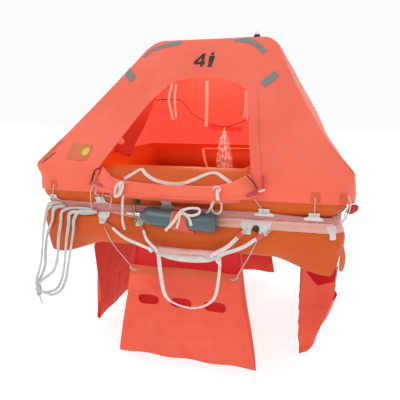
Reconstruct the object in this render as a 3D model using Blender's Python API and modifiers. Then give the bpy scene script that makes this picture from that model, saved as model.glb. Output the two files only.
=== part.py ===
# Inflatable life raft for four: two stacked square buoyancy tubes, a canopy held up by one arch tube,
# a gas cylinder at the entrance, a boarding ladder and four water pockets under the tubes.
# Metres, +Z up, the entrance faces -Y, the origin is the raft's centre at its waterline.
import math

import bmesh
import bpy
from mathutils import Matrix, Vector

GAP = 0.0003                 # clearance kept between pieces that touch

# Buoyancy tubes, one on the other, flattened where they meet at the crease
CREASE_Z = 0.195             # height of the crease above the waterline
TUBE_R = 0.12
TUBE_HALF = 0.73             # centre of the raft to a tube's centreline
TUBE_RISE = 0.11             # tube centreline above or below the crease
TUBE_SIDES = 24
DROOP_OUT = 0.040            # how far the lower tube's corners sag outwards
DROOP_DOWN = 0.074           # and down
DROOP_OUT_POWER = 6          # the higher the power, the more the sag keeps to the tube's underside
DROOP_OUTER_POWER = 4
DROOP_INNER_POWER = 8        # clear of the floor's corners
DROOP_LENGTH = 0.27          # run from the corner over which the sag dies away
LOWER_STATIONS = [-1.0, -0.93, -0.86, -0.78, -0.70, -0.62, 0.0, 0.62, 0.70, 0.78, 0.86, 0.93]
UPPER_Z = CREASE_Z + TUBE_RISE
LOWER_Z = CREASE_Z - TUBE_RISE

# Floor, a thin padded sheet across the inside of the lower tube
FLOOR_HALF = 0.6438
FLOOR_T = 0.012
FLOOR_TOP = CREASE_Z - 0.193

# Arch tube under the middle of the canopy
ARCH_R = 0.08
ARCH_SIDES = 16
ARCH_TOP = CREASE_Z + 0.9075
ARCH_HALF_PATH = [(0.705, CREASE_Z + 0.235), (0.668, CREASE_Z + 0.315), (0.575, CREASE_Z + 0.475),
                  (0.500, CREASE_Z + 0.640), (0.432, CREASE_Z + 0.775), (0.372, CREASE_Z + 0.868),
                  (0.290, ARCH_TOP), (0.145, ARCH_TOP + 0.001)]
FOOT_LIFT = 0.0008
FOOT_DISH = 0.0030           # the feet's soles are hollow, so that only their rims bear
FOOT_SHARES = (0.75, 0.5, 0.25, 0.04)

# Canopy, a hipped tent from the arch down to the outside of the upper tube
CANOPY_T = 0.0025
ROOF_R = 0.0861              # the cloth's bend over the arch
RIDGE_HALF = 0.408
EAVE_HALF = 0.838
EAVE_Z = CREASE_Z + 0.235
SKIRT = [(0.8545, CREASE_Z + 0.128), (0.8556, CREASE_Z + 0.090)]
HIP_GAP = 0.0027
SKIRT_GAP = 0.0029
RIDGE_GAP = 0.0008
SHEET_ROWS = [0.16, 0.32, 0.48, 0.64, EAVE_HALF]                # distances out of the front sheet's rows
SIDE_ROWS = [0.416, 0.44, 0.50, 0.60, 0.70, 0.78, EAVE_HALF]    # and of a side sheet's
DOOR = [(-0.441, 0.235), (-0.374, 0.400), (-0.294, 0.570), (-0.193, 0.689), (-0.090, 0.722), (0.006, 0.728),
        (0.110, 0.718), (0.194, 0.698), (0.275, 0.653), (0.307, 0.579), (0.348, 0.368), (0.378, 0.235)]
DOOR_SILL = CREASE_Z + 0.128
DOOR_SILL_ENDS = (-0.455, 0.395)
DOOR_CUT_Y = -0.6
DOOR_CUT_HALF = 0.5

# Rolled door flap on the sill
ROLL_R = 0.036
ROLL_END_R = 0.022
ROLL_PATH = [(-0.452, 0.192), (-0.40, 0.166), (-0.30, 0.142), (-0.15, 0.130), (0.0, 0.128), (0.15, 0.131),
             (0.28, 0.148), (0.36, 0.168), (0.412, 0.196)]

# Bands glued along the tubes
BAND_T = 0.002
BAND_SEAT = 0.0012           # lift of a band's corners, so that its flats clear the tube
BAND_LIFT = BAND_SEAT + BAND_T
PATCH_EXTRA = 0.0004         # patches stand this much prouder than the bands
CREASE_TAPE_OUT = 0.8215
CREASE_TAPE_HIGH = 0.014
CREASE_TAPE_LOW = -0.0205
CREASE_GROOVE = 0.004        # half the gap between the tubes that the tape leaves open
CREASE_TAPE_EDGE = 0.001
UPPER_PATCH_HIGH = 0.058
UPPER_PATCH_ROOT = 0.006
LOWER_PATCH_ROOT = 0.004     # below the band's upper edge
UPPER_PATCHES = [(-0.746, 0.060), (-0.450, 0.060), (-0.065, 0.062), (0.447, 0.070), (0.690, 0.062)]
BAND_HIGH = -0.0235
BAND_LOW = -0.056
LOWER_PATCHES = [(-0.434, 0.062, -0.092), (-0.217, 0.066, -0.100), (0.345, 0.060, -0.095),
                 (0.430, 0.090, -0.098), (0.735, 0.063, -0.098)]

# Gas cylinder lying in the crease at the entrance
GAS_R = 0.0505
GAS_LEFT = (-0.197, -0.014)
GAS_RIGHT = (0.219, -0.034)
GAS_BAND_X = 0.028
GAS_BAND_W = 0.100
GAS_BAND_R = GAS_R + 0.0028
GAS_BAND_T = 0.002
GAS_BAND_TOP = (0.066, 0.0045)        # height over the crease, lift off the tube
GAS_BAND_FOOT = (-0.100, 0.0022)
GAS_BAND_ARC = (56, -100)             # degrees of the cylinder that the band covers
# Turned outlines: (distance along the axis, radius)
GAS_SHOULDER = [(0.0, 0.014), (0.004, 0.020), (0.018, 0.037), (0.036, 0.0470), (0.055, GAS_R)]
GAS_FOOT = [(0.030, GAS_R), (0.012, 0.046), (0.0, 0.036)]
VALVE_PROFILE = [(0, 0.013), (0.016, 0.013), (0.018, 0.010), (0.034, 0.010), (0.036, 0.014), (0.052, 0.014)]
STEM_PLACE = 0.026
STEM_PROFILE = [(0, 0.008), (0.046, 0.008)]
KNOB_DROP = 0.026
KNOB_PROFILE = [(0, 0.009), (0.012, 0.009), (0.013, 0.006), (0.020, 0.006)]

# Round plate where the gas goes in, and the black valve on the double patch
INLET_X = -0.230
INLET_PROFILE = [(0, 0.020), (0.006, 0.020), (0.009, 0.012)]
TOPPING_X = 0.411
TOPPING_Z = CREASE_Z - 0.056
TOPPING_PROFILE = [(0, 0.017), (0.010, 0.017), (0.013, 0.013)]

# Boarding ladder, hung from the lower tube
EYE_Z = CREASE_Z - 0.074
EYES = [-0.430, -0.212, 0.352, 0.462]
RUNG_ENDS = (-0.158, 0.240)
RUNG_Z = CREASE_Z - 0.200
RUNG_Y = -0.872
RUNG_R = 0.013
STRAP_W = 0.018
STRAP_T = 0.002
STRAP_OUT = 0.012            # how far the straps stand off the tube where they leave their patches
WEBBING_W = 0.022
RUNG_END_R = 0.010
RUNG_END = 0.006
RUNG_POINTS = [-0.146, -0.108, 0.182, 0.228]    # where the straps meet the rung
STRAP_SAG = (0, 0, -0.012)
STRAP_BULGE_SHARE = 0.4
STRAP_OVER = 0.002           # the straps end this much above the rung's axis
# Webbing under the rung, and the foot loop, as (x, height over the rung's axis)
WEBBING_PATH = [(-0.146, 0.004), (-0.10, -0.030), (0.04, -0.046), (0.17, -0.034), (0.228, 0.004)]
FOOT_LOOP = [(-0.116, -0.004), (-0.107, -0.06), (-0.097, -0.16), (-0.082, -0.262), (-0.050, -0.305),
             (0.005, -0.325), (0.053, -0.332), (0.10, -0.330), (0.167, -0.300), (0.213, -0.240), (0.232, -0.10),
             (0.228, -0.004)]
FRONT = (0, -1, 0)

# White lines that hang in a hank at the left of the front; falls are (x, height over the crease)
LINE_R = 0.0038
LINE_LEAVES = 0.012
LINE_TIP = (0, -0.004, -0.004)
LINES_OUT = -0.862           # the lines hang clear of the lower tube's sagging corner
LINE_DROP = (0.022, 0.040)   # out and down to where a line first hangs
KNOT_SEAT = 0.0010           # the lines end just above the knot, some at a slant
TAIL_CLEAR = 0.001
TAIL_PATH = [(-0.008, 0, -0.085), (-0.018, 0, -0.110)]
KNOT_TOP = 0.034
KNOT_PROFILE = [(0, 0.016), (0.012, 0.024), (0.024, 0.026), (0.044, 0.026), (0.056, 0.014), (0.062, 0.008)]
HANK_KNOT = Vector((-0.872, -0.872, CREASE_Z - 0.535))
HANK_LINES = [
    {"x": -0.783, "over": -0.010, "y": -0.882, "end": (-0.0105, 0, KNOT_TOP), "arrives": (0, 0, 0.024),
     "falls": [(-0.797, -0.157), (-0.828, -0.330), (-0.866, -0.440)]},
    {"x": -0.745, "over": -0.042, "y": -0.868, "end": (0, 0, KNOT_TOP), "arrives": (0, 0, 0.024),
     "falls": [(-0.781, -0.170), (-0.803, -0.275), (-0.814, -0.360), (-0.846, -0.435)]},
    {"x": -0.690, "over": -0.048, "y": -0.878, "end": (0.0105, 0, KNOT_TOP), "arrives": (0, 0, 0.024),
     "falls": [(-0.703, -0.180), (-0.720, -0.300), (-0.752, -0.385), (-0.812, -0.437)]},
    {"x": -0.640, "over": -0.050, "y": -0.870, "end": (0.0260, -0.0045, 0.002), "arrives": (0.024, 0, 0.001),
     "falls": [(-0.660, -0.200), (-0.680, -0.320), (-0.703, -0.420), (-0.745, -0.500), (-0.798, -0.528)]},
    {"x": -0.606, "over": -0.077, "y": -0.880, "end": (0.0256, 0.0045, -0.006), "arrives": (0.024, 0, 0),
     "falls": [(-0.624, -0.220), (-0.650, -0.330), (-0.676, -0.430), (-0.715, -0.505), (-0.776, -0.541)]},
]

# Water pockets, open at the top on the outer side
POCKET_T = 0.003
POCKET_TOP_Z = CREASE_Z - 0.209
POCKET_HEM_Z = CREASE_Z - 0.345
POCKET_OPEN_Z = CREASE_Z - 0.520
POCKET_BOTTOM_Z = CREASE_Z - 0.935
POCKET_TOP_HALF = 0.310
POCKET_BOTTOM_HALF = 0.425
# Each level's height, distances out, half-widths, and how much of a side's own billow, sag, flare and lean it takes
POCKET_LEVELS = [
    {"height": POCKET_TOP_Z, "back": 0.660, "front": 0.760, "back_half": POCKET_TOP_HALF,
     "front_half": POCKET_TOP_HALF, "billow": 0, "sag": 0, "flare": 0.5, "lean": 0},
    {"height": POCKET_HEM_Z, "back": 0.676, "front": 0.772, "back_half": 0.325,
     "front_half": 0.312, "billow": 1, "sag": 1, "flare": 1, "lean": 0},
    {"height": POCKET_OPEN_Z, "back": 0.686, "front": 0.766, "back_half": 0.350,
     "front_half": 0.340, "billow": 1, "sag": 0.5, "flare": 0.7, "lean": 0},
    {"height": CREASE_Z - 0.70, "back": 0.694, "front": 0.762, "back_half": 0.385,
     "front_half": 0.378, "billow": 0.5, "sag": 0, "flare": 0.35, "lean": 0.35},
    {"height": CREASE_Z - 0.84, "back": 0.706, "front": 0.752, "back_half": 0.410,
     "front_half": 0.406, "billow": 0.25, "sag": 0, "flare": 0.15, "lean": 0.7},
    {"height": POCKET_BOTTOM_Z, "back": 0.732, "front": 0.744, "back_half": POCKET_BOTTOM_HALF,
     "front_half": POCKET_BOTTOM_HALF, "billow": 0, "sag": 0, "flare": 0, "lean": 1},
]
POCKET_SHAPES = {
    "front": {"billow": 0.0, "sag": 0.0, "flare": 0.0, "lean": 0.0},
    "right": {"billow": 0.085, "sag": 0.06, "flare": 0.0, "lean": 0.07},
    "back": {"billow": 0.0, "sag": 0.0, "flare": 0.0, "lean": 0.0},
    "left": {"billow": 0.0, "sag": 0.0, "flare": 0.215, "lean": 0.0},
}
TIE_R = 0.003
TIE_LIFT = 0.0036
TIE_OUT = 0.0041
TIE_DROP = 0.012
TIE_TOP_Z = CREASE_Z - 0.104
TIE_TOP_HALF = 0.425
TIE_HEM_HALF = 0.308
TIE_BOW_SHARE = 0.35
TIE_BOW = (0, -0.021, -0.006)
HOLE_CENTRES = [-0.217, -0.018, 0.180]
HOLE_HALF_W = 0.0575
HOLE_HALF_H = 0.033
HOLE_Z = CREASE_Z - 0.572

DRAIN_CUT = (-0.725, -0.95)  # the drain holes are cut between these distances out

# Webbing loop under the right side
LOOP_LEGS = (-0.500, -0.590)
LOOP_ANGLE = -60             # degrees round the tube from its outer side
LOOP_LIFT = 0.0019
LOOP_W = 0.025
LOOP_LEAVES = 0.03
LOOP_BEND_SHARE = 0.62
LOOP_HANG = (0.075, 0, -0.105)

# Oval float at the front right corner, resting on the upper tube below the hem
FLOAT_CENTRE = (0.8654, -0.80, CREASE_Z + 0.062)
FLOAT_RADII = (0.021, 0.021, 0.031)
FLOAT_TILT = 52              # degrees of its long axis from upright

# Light on the ridge: (distance along its axis, radius)
LIGHT_X = 0.29
LIGHT_BASE = [(0, 0.022), (0.012, 0.022), (0.014, 0.019)]
LIGHT_LENS = [(0, 0.016), (0.010, 0.016), (0.017, 0.012), (0.021, 0.005)]

# Blank label patch on the front sheet, (x, height over the crease)
LABEL = [(-0.672, 0.343), (-0.534, 0.335), (-0.536, 0.252), (-0.662, 0.261)]
LABEL_T = 0.0015
LABEL_DOT = (-0.562, 0.299)
LABEL_DOT_R = 0.016
LABEL_DOT_T = 0.001

for old in list(bpy.data.objects):
    bpy.data.objects.remove(old, do_unlink=True)

parts = bpy.data.collections.new("inflatable_life_raft")
bpy.context.scene.collection.children.link(parts)
cutters = bpy.data.collections.new("cutters")
bpy.context.scene.collection.children.link(cutters)


def material(name, colour, roughness=0.6, metallic=0.0):
    """One plain Principled finish."""
    mat = bpy.data.materials.new(name)
    mat.use_nodes = True
    shader = mat.node_tree.nodes["Principled BSDF"]
    shader.inputs["Base Color"].default_value = (*colour, 1.0)
    shader.inputs["Roughness"].default_value = roughness
    shader.inputs["Metallic"].default_value = metallic
    mat.diffuse_color = (*colour, 1.0)
    return mat


TUBE_ORANGE = (0.72, 0.15, 0.03)
CLOTH_RED = (0.92, 0.16, 0.08)
WEB_WHITE = (0.78, 0.76, 0.74)
BAND_PINK = (0.75, 0.42, 0.38)
HARD_BLACK = (0.03, 0.03, 0.035)


def add_object(name, mesh, mat):
    obj = bpy.data.objects.new(name, mesh)
    parts.objects.link(obj)
    mesh.materials.clear()
    mesh.materials.append(mat)
    return obj


def smooth_mesh(mesh, angle=40):
    mesh.shade_smooth()
    mesh.set_sharp_from_angle(angle=math.radians(angle))


def mesh_from_bmesh(name, bm):
    bmesh.ops.recalc_face_normals(bm, faces=bm.faces)
    mesh = bpy.data.meshes.new(name)
    bm.to_mesh(mesh)
    bm.free()
    smooth_mesh(mesh)
    return mesh


def loft(name, rings, mat, loop=False):
    """Skin between sections of equal point counts; a loop joins the last section to the first."""
    bm = bmesh.new()
    rows = [[bm.verts.new(point) for point in ring] for ring in rings]
    count = len(rows[0])
    spans = len(rows) if loop else len(rows) - 1
    for i in range(spans):
        here, there = rows[i], rows[(i + 1) % len(rows)]
        for j in range(count):
            k = (j + 1) % count
            bm.faces.new((here[j], here[k], there[k], there[j]))
    if not loop:
        bm.faces.new(rows[0])
        bm.faces.new(rows[-1])
    return add_object(name, mesh_from_bmesh(name, bm), mat)


def disc(centre, axis, radius, sides, start=None):
    """Ring of points round an axis."""
    axis = Vector(axis).normalized()
    first = Vector(start) if start else axis.orthogonal()
    first = (first - first.project(axis)).normalized()
    second = axis.cross(first)
    turn = 2 * math.pi / sides
    return [Vector(centre) + radius * (math.cos(turn * i) * first + math.sin(turn * i) * second)
            for i in range(sides)]


def turned(name, start, end, profile, mat, sides=16):
    """Round piece along a line; the profile gives (distance along it, radius) in metres."""
    start, end = Vector(start), Vector(end)
    axis = (end - start).normalized()
    rings = [disc(start + axis * along, axis, radius, sides) for along, radius in profile]
    return loft(name, rings, mat)


def smooth_path(points, steps):
    """Points read from a smooth curve through the given ones."""
    points = [Vector(p) for p in points]
    padded = [2 * points[0] - points[1]] + points + [2 * points[-1] - points[-2]]
    path = []
    for i in range(1, len(padded) - 2):
        a, b, c, d = padded[i - 1:i + 3]
        for s in range(steps):
            t = s / steps
            path.append(0.5 * (2 * b + (c - a) * t + (2 * a - 5 * b + 4 * c - d) * t ** 2
                               + (3 * b - a - 3 * c + d) * t ** 3))
    path.append(points[-1])
    return path


def tangents(path):
    last = len(path) - 1
    return [(path[min(i + 1, last)] - path[max(i - 1, 0)]).normalized() for i in range(last + 1)]


def ribbon(name, points, across, width, thickness, mat, steps=4, facing=None):
    """Flat webbing along a path; across is the direction of its width, or facing that of its flat face."""
    path = smooth_path(points, steps) if steps > 1 else [Vector(p) for p in points]
    rings = []
    for point, along in zip(path, tangents(path)):
        side = along.cross(Vector(facing)) if facing else Vector(across)
        side = (side - side.project(along)).normalized() * width / 2
        face = along.cross(side).normalized() * thickness / 2
        rings.append([point + side + face, point - side + face, point - side - face, point + side - face])
    return loft(name, rings, mat)


def cord(name, points, radius, mat, steps=3, resolution=2):
    """Round cord along a smooth route."""
    path = smooth_path(points, steps)
    curve = bpy.data.curves.new(name, "CURVE")
    curve.dimensions = "3D"
    curve.bevel_depth = radius
    curve.bevel_resolution = resolution
    curve.use_fill_caps = True
    spline = curve.splines.new("POLY")
    spline.points.add(len(path) - 1)
    for slot, point in zip(spline.points, path):
        slot.co = (*point, 1.0)
    obj = bpy.data.objects.new(name, curve)
    parts.objects.link(obj)
    curve.materials.append(mat)
    return obj


def block(name, low, high, mat):
    """Box between two corners."""
    bm = bmesh.new()
    bmesh.ops.create_cube(bm, size=1.0)
    low, high = Vector(low), Vector(high)
    bmesh.ops.scale(bm, vec=high - low, verts=bm.verts)
    bmesh.ops.translate(bm, vec=(low + high) / 2, verts=bm.verts)
    return add_object(name, mesh_from_bmesh(name, bm), mat)


def make_cutter(obj):
    parts.objects.unlink(obj)
    cutters.objects.link(obj)
    obj.hide_render = True
    obj.display_type = "WIRE"
    return obj


def combine(obj, tool, operation):
    step = obj.modifiers.new(operation.lower(), "BOOLEAN")
    step.operation = operation
    step.object = make_cutter(tool)


def quarter_turn(turns):
    return Matrix.Rotation(turns * math.pi / 2, 4, "Z")


def square_ring(name, section, stations, mat):
    """Closed square frame with mitred corners. section(u, turns) gives (distance out, height) points;
    u runs from -1 to 1 along a side, and turns counts the sides from the front one."""
    rings = []
    for turns in range(4):
        for u in stations:
            rings.append([quarter_turn(turns) @ Vector((u * out, -out, height))
                          for out, height in section(u, turns)])
    return loft(name, rings, mat, loop=True)


# Tubes

def tube_section(centre_z, sides=TUBE_SIDES):
    """Circle with a flat where the other tube presses on it."""
    points = []
    for i in range(sides):
        angle = 2 * math.pi * (i + 0.5) / sides
        out = TUBE_HALF + TUBE_R * math.cos(angle)
        height = centre_z + TUBE_R * math.sin(angle)
        if centre_z > CREASE_Z:
            height = max(height, CREASE_Z + GAP / 2)
        else:
            height = min(height, CREASE_Z - GAP / 2)
        points.append((out, height, angle))
    return points


def upper_section(u, turns):
    return [(out, height) for out, height, angle in tube_section(UPPER_Z)]


def corner_sag(u, angle):
    """How far the lower tube's skin sags, out and down, at a place along a side and round the tube."""
    near = max(0.0, 1 - (1 - abs(u)) * TUBE_HALF / DROOP_LENGTH)
    share = near * near * (3 - 2 * near)
    under = max(0.0, -math.sin(angle))
    power = DROOP_INNER_POWER if math.cos(angle) < 0 else DROOP_OUTER_POWER
    return DROOP_OUT * share * under ** DROOP_OUT_POWER, DROOP_DOWN * share * under ** power


def lower_section(u, turns):
    """The lower tube, whose underside sags down and out at the corners."""
    points = []
    for out, height, angle in tube_section(LOWER_Z):
        out_sag, down_sag = corner_sag(u, angle)
        points.append((out + out_sag, height - down_sag))
    return points


def tubes(mat):
    square_ring("upper_tube", upper_section, [-1.0, 0.0], mat)
    square_ring("lower_tube", lower_section, LOWER_STATIONS, mat)


def on_tube(height, centre_z, lift=0.0):
    """Distance out to the outer face of a tube at a height, plus a lift off its surface."""
    return TUBE_HALF + math.sqrt((TUBE_R + lift) ** 2 - (height - centre_z) ** 2)


def raft_floor(mat):
    block("raft_floor", (-FLOOR_HALF, -FLOOR_HALF, FLOOR_TOP - FLOOR_T), (FLOOR_HALF, FLOOR_HALF, FLOOR_TOP), mat)


def on_upper_tube(ring, share, lift):
    """The ring shrunk to a share of its size and laid on the upper tube's crown."""
    middle = sum(ring, Vector()) / len(ring)
    laid = []
    for point in ring:
        x, y = middle.x + (point.x - middle.x) * share, middle.y + (point.y - middle.y) * share
        laid.append(Vector((x, y, UPPER_Z + math.sqrt((TUBE_R + lift) ** 2 - (abs(x) - TUBE_HALF) ** 2))))
    return laid


def arch_tube(mat):
    """Round tube over the cabin, its feet shaped to sit on the upper tube."""
    half = [Vector((x, 0, z)) for x, z in ARCH_HALF_PATH]
    corners = half + [Vector((-p.x, 0, p.z)) for p in reversed(half)]
    path = smooth_path(corners, 2)
    rings = [disc(point, along, ARCH_R, ARCH_SIDES, start=(0, 1, 0)) for point, along in zip(path, tangents(path))]
    rings[0], rings[-1] = on_upper_tube(rings[0], 1.0, FOOT_LIFT), on_upper_tube(rings[-1], 1.0, FOOT_LIFT)
    for share in FOOT_SHARES:
        rings.insert(0, on_upper_tube(rings[0], share, FOOT_DISH))
        rings.append(on_upper_tube(rings[-1], share, FOOT_DISH))
    loft("arch_tube", rings, mat)


# Canopy

def slope_angle():
    """Slope of the front and back sheets, tangent to the bend over the arch."""
    run, rise = EAVE_HALF, ARCH_TOP - EAVE_Z
    return math.atan2(rise, run) + math.asin(ROOF_R / math.hypot(run, rise))


def sheet_height(distance):
    """Height of the front or back sheet at a distance from the ridge line."""
    angle = slope_angle()
    if distance < ROOF_R * math.sin(angle):
        return ARCH_TOP + math.sqrt(ROOF_R ** 2 - distance ** 2)
    return EAVE_Z + math.tan(angle) * (EAVE_HALF - distance)


def hip_x(height):
    """Half-width of the front sheet where its hip reaches a height."""
    return EAVE_HALF - (EAVE_HALF - RIDGE_HALF) * (height - EAVE_Z) / (sheet_height(0) - EAVE_Z)


def sheet_rows():
    """(distance out, height, half-width) down a front or back sheet, from the ridge to the hem."""
    bend = ROOF_R * math.sin(slope_angle())
    distances = [RIDGE_GAP, bend / 2, bend] + SHEET_ROWS
    rows = [(d, sheet_height(d), hip_x(sheet_height(d))) for d in distances]
    return rows + [(out, height, out) for out, height in SKIRT]


def side_rows():
    """The same for a left or right sheet, measured out along X."""
    rows = []
    for x in SIDE_ROWS:
        height = EAVE_Z + (sheet_height(0) - EAVE_Z) * (EAVE_HALF - x) / (EAVE_HALF - RIDGE_HALF)
        low, high = 0.0, EAVE_HALF
        for _ in range(40):
            middle = (low + high) / 2
            if sheet_height(middle) > height:
                low = middle
            else:
                high = middle
        rows.append((x, height, low))
    return rows + [(out, height, out) for out, height in SKIRT]


def canopy_sheet(name, rows, turns, mat, columns=6):
    """Open sheet from rows, turned to its side of the raft and thickened inwards."""
    bm = bmesh.new()
    grid = []
    for out, height, half in rows:
        half -= HIP_GAP if height > EAVE_Z else SKIRT_GAP
        line = []
        for i in range(columns + 1):
            across = half * (2 * i / columns - 1)
            line.append(bm.verts.new(quarter_turn(turns) @ Vector((across, -out, height))))
        grid.append(line)
    for upper, lower in zip(grid, grid[1:]):
        for i in range(columns):
            bm.faces.new((upper[i], lower[i], lower[i + 1], upper[i + 1]))
    mesh = bpy.data.meshes.new(name)
    bm.to_mesh(mesh)
    bm.free()
    obj = add_object(name, mesh, mat)
    wall = obj.modifiers.new("cloth", "SOLIDIFY")
    wall.thickness = CANOPY_T
    wall.offset = -1.0
    return obj


def door_cutter():
    """Prism with the entrance's outline."""
    curve = bpy.data.curves.new("door_outline", "CURVE")
    curve.dimensions = "2D"
    curve.fill_mode = "BOTH"
    curve.extrude = DOOR_CUT_HALF
    spline = curve.splines.new("POLY")
    outline = [(x, CREASE_Z + z) for x, z in DOOR]
    outline += [(DOOR_SILL_ENDS[1], DOOR_SILL), (DOOR_SILL_ENDS[0], DOOR_SILL)]
    spline.points.add(len(outline) - 1)
    for slot, (x, z) in zip(spline.points, outline):
        slot.co = (x, z, 0, 1)
    spline.use_cyclic_u = True
    flat = bpy.data.objects.new("door_outline", curve)
    flat.location = (0, DOOR_CUT_Y, 0)
    flat.rotation_euler = (math.pi / 2, 0, 0)
    parts.objects.link(flat)
    return as_mesh(flat)


def as_mesh(curve_object):
    """The curve object as a welded mesh object in the same place."""
    bpy.context.view_layer.update()
    evaluated = curve_object.evaluated_get(bpy.context.evaluated_depsgraph_get())
    mesh = bpy.data.meshes.new_from_object(evaluated)
    bm = bmesh.new()
    bm.from_mesh(mesh)
    bmesh.ops.remove_doubles(bm, verts=bm.verts, dist=1e-5)
    bmesh.ops.recalc_face_normals(bm, faces=bm.faces)
    bm.to_mesh(mesh)
    bm.free()
    name = curve_object.name
    obj = bpy.data.objects.new(name + "_solid", mesh)
    obj.matrix_world = curve_object.matrix_world.copy()
    parts.objects.link(obj)
    bpy.data.objects.remove(curve_object, do_unlink=True)
    return obj


def canopy(mat):
    front = canopy_sheet("canopy_front", sheet_rows(), 0, mat, columns=8)
    combine(front, door_cutter(), "DIFFERENCE")
    canopy_sheet("canopy_back", sheet_rows(), 2, mat)
    canopy_sheet("canopy_right", side_rows(), 1, mat)
    canopy_sheet("canopy_left", side_rows(), 3, mat)


def door_roll(mat):
    """The door's flap, rolled down and tied along the sill."""
    path = smooth_path([(x, -(SKIRT[0][0] + GAP + ROLL_R), CREASE_Z + z) for x, z in ROLL_PATH], 3)
    rings = []
    for point, along in zip(path, tangents(path)):
        share = abs(2 * (point.x - path[0].x) / (path[-1].x - path[0].x) - 1)
        radius = ROLL_R - (ROLL_R - ROLL_END_R) * share ** 4
        rings.append(disc(point, along, radius, 12, start=(0, 1, 0)))
    loft("door_roll", rings, mat)


# Bands and patches on the tubes

def crease_section(u, turns):
    """Wedge that fills the crease between the tubes."""
    top = CREASE_Z + CREASE_TAPE_HIGH
    bottom = CREASE_Z + CREASE_TAPE_LOW
    above, below = CREASE_Z + CREASE_GROOVE, CREASE_Z - CREASE_GROOVE
    outer = [(CREASE_TAPE_OUT, bottom), (CREASE_TAPE_OUT, top - CREASE_TAPE_EDGE),
             (on_tube(top, UPPER_Z, BAND_LIFT), top)]
    inner = [(on_tube(top, UPPER_Z, BAND_SEAT), top), (on_tube(above, UPPER_Z, BAND_SEAT), above),
             (on_tube(below, LOWER_Z, BAND_SEAT), below), (on_tube(bottom, LOWER_Z, BAND_SEAT), bottom)]
    return outer + inner


def shell_section(high, low, centre_z, spans, extra=0.0):
    """Thin curved section lying on a tube between two heights."""
    heights = [high + (low - high) * i / spans for i in range(spans + 1)]
    outer = [(on_tube(h, centre_z, BAND_LIFT + extra), h) for h in heights]
    inner = [(on_tube(h, centre_z, BAND_SEAT + extra / 4), h) for h in reversed(heights)]
    return outer + inner


def band_section(u, turns):
    return shell_section(CREASE_Z + BAND_HIGH, CREASE_Z + BAND_LOW, LOWER_Z, 2)


def patches(name, places, centre_z, mat):
    """Short curved plates on all four sides of a tube, as one tool for a union."""
    bm = bmesh.new()
    for turns in range(4):
        for centre, width, high, low in places:
            section = shell_section(CREASE_Z + high, CREASE_Z + low, centre_z, 4, extra=PATCH_EXTRA)
            rows = [[bm.verts.new(quarter_turn(turns) @ Vector((x, -out, height))) for out, height in section]
                    for x in (centre - width / 2, centre + width / 2)]
            count = len(section)
            for j in range(count):
                k = (j + 1) % count
                bm.faces.new((rows[0][j], rows[0][k], rows[1][k], rows[1][j]))
            bm.faces.new(rows[0])
            bm.faces.new(rows[1])
    return add_object(name, mesh_from_bmesh(name, bm), mat)


def bands(mat_tape, mat_band):
    tape = square_ring("crease_tape", crease_section, [-1.0, 0.0], mat_tape)
    upper = [(centre, width, UPPER_PATCH_HIGH, UPPER_PATCH_ROOT) for centre, width in UPPER_PATCHES]
    combine(tape, patches("upper_patches", upper, UPPER_Z, mat_tape), "UNION")
    band = square_ring("lower_band", band_section, [-1.0, 0.0], mat_band)
    lower = [(centre, width, BAND_HIGH - LOWER_PATCH_ROOT, low) for centre, width, low in LOWER_PATCHES]
    combine(band, patches("lower_patches", lower, LOWER_Z, mat_band), "UNION")


# Gas cylinder and valves

def gas_centre(x):
    """Point on the cylinder's axis above an x, resting on the band of the lower tube."""
    share = (x - GAS_LEFT[0]) / (GAS_RIGHT[0] - GAS_LEFT[0])
    z = CREASE_Z + GAS_LEFT[1] + share * (GAS_RIGHT[1] - GAS_LEFT[1])
    reach = TUBE_R + BAND_LIFT + GAP + GAS_R
    return Vector((x, -(TUBE_HALF + math.sqrt(reach ** 2 - (z - LOWER_Z) ** 2)), z))


def gas_cylinder(mat_steel, mat_brass, mat_band):
    left, right = gas_centre(GAS_LEFT[0]), gas_centre(GAS_RIGHT[0])
    length = (right - left).length
    profile = GAS_SHOULDER + [(length - back, radius) for back, radius in GAS_FOOT]
    turned("gas_cylinder", left, right, profile, mat_steel, sides=24)
    axis = (left - right).normalized()
    head = left + axis * GAP
    valve = turned("cylinder_valve", head, head + axis, VALVE_PROFILE, mat_brass, sides=12)
    place = head + axis * STEM_PLACE
    stem = turned("valve_stem", place, place + Vector((0, 0, 1)), STEM_PROFILE, mat_brass, sides=10)
    combine(valve, stem, "UNION")
    knob = turned("valve_knob", place - Vector((0, 0, KNOB_DROP)), place, KNOB_PROFILE, mat_brass, sides=10)
    combine(valve, knob, "UNION")
    middle = gas_centre(GAS_BAND_X)
    top_z, foot_z = CREASE_Z + GAS_BAND_TOP[0], CREASE_Z + GAS_BAND_FOOT[0]
    band_path = [Vector((GAS_BAND_X, -on_tube(top_z, UPPER_Z, GAS_BAND_TOP[1]), top_z))]
    spans = 10
    for i in range(spans + 1):
        angle = math.radians(GAS_BAND_ARC[0] + (GAS_BAND_ARC[1] - GAS_BAND_ARC[0]) * i / spans)
        band_path.append(middle + GAS_BAND_R * Vector((0, -math.cos(angle), math.sin(angle))))
    band_path.append(Vector((GAS_BAND_X, -on_tube(foot_z, LOWER_Z, GAS_BAND_FOOT[1]), foot_z)))
    ribbon("cylinder_band", band_path, right - left, GAS_BAND_W, GAS_BAND_T, mat_band, steps=1)


def inlet_plate(mat):
    """Round plate on the upper tube where the gas goes in."""
    flat = math.pi / TUBE_SIDES
    angle = -4 * flat
    normal = Vector((0, -math.cos(angle), math.sin(angle)))
    foot = Vector((INLET_X, -TUBE_HALF, UPPER_Z)) + normal * (TUBE_R * math.cos(flat) + GAP)
    turned("inlet_plate", foot, foot + normal, INLET_PROFILE, mat)


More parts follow.
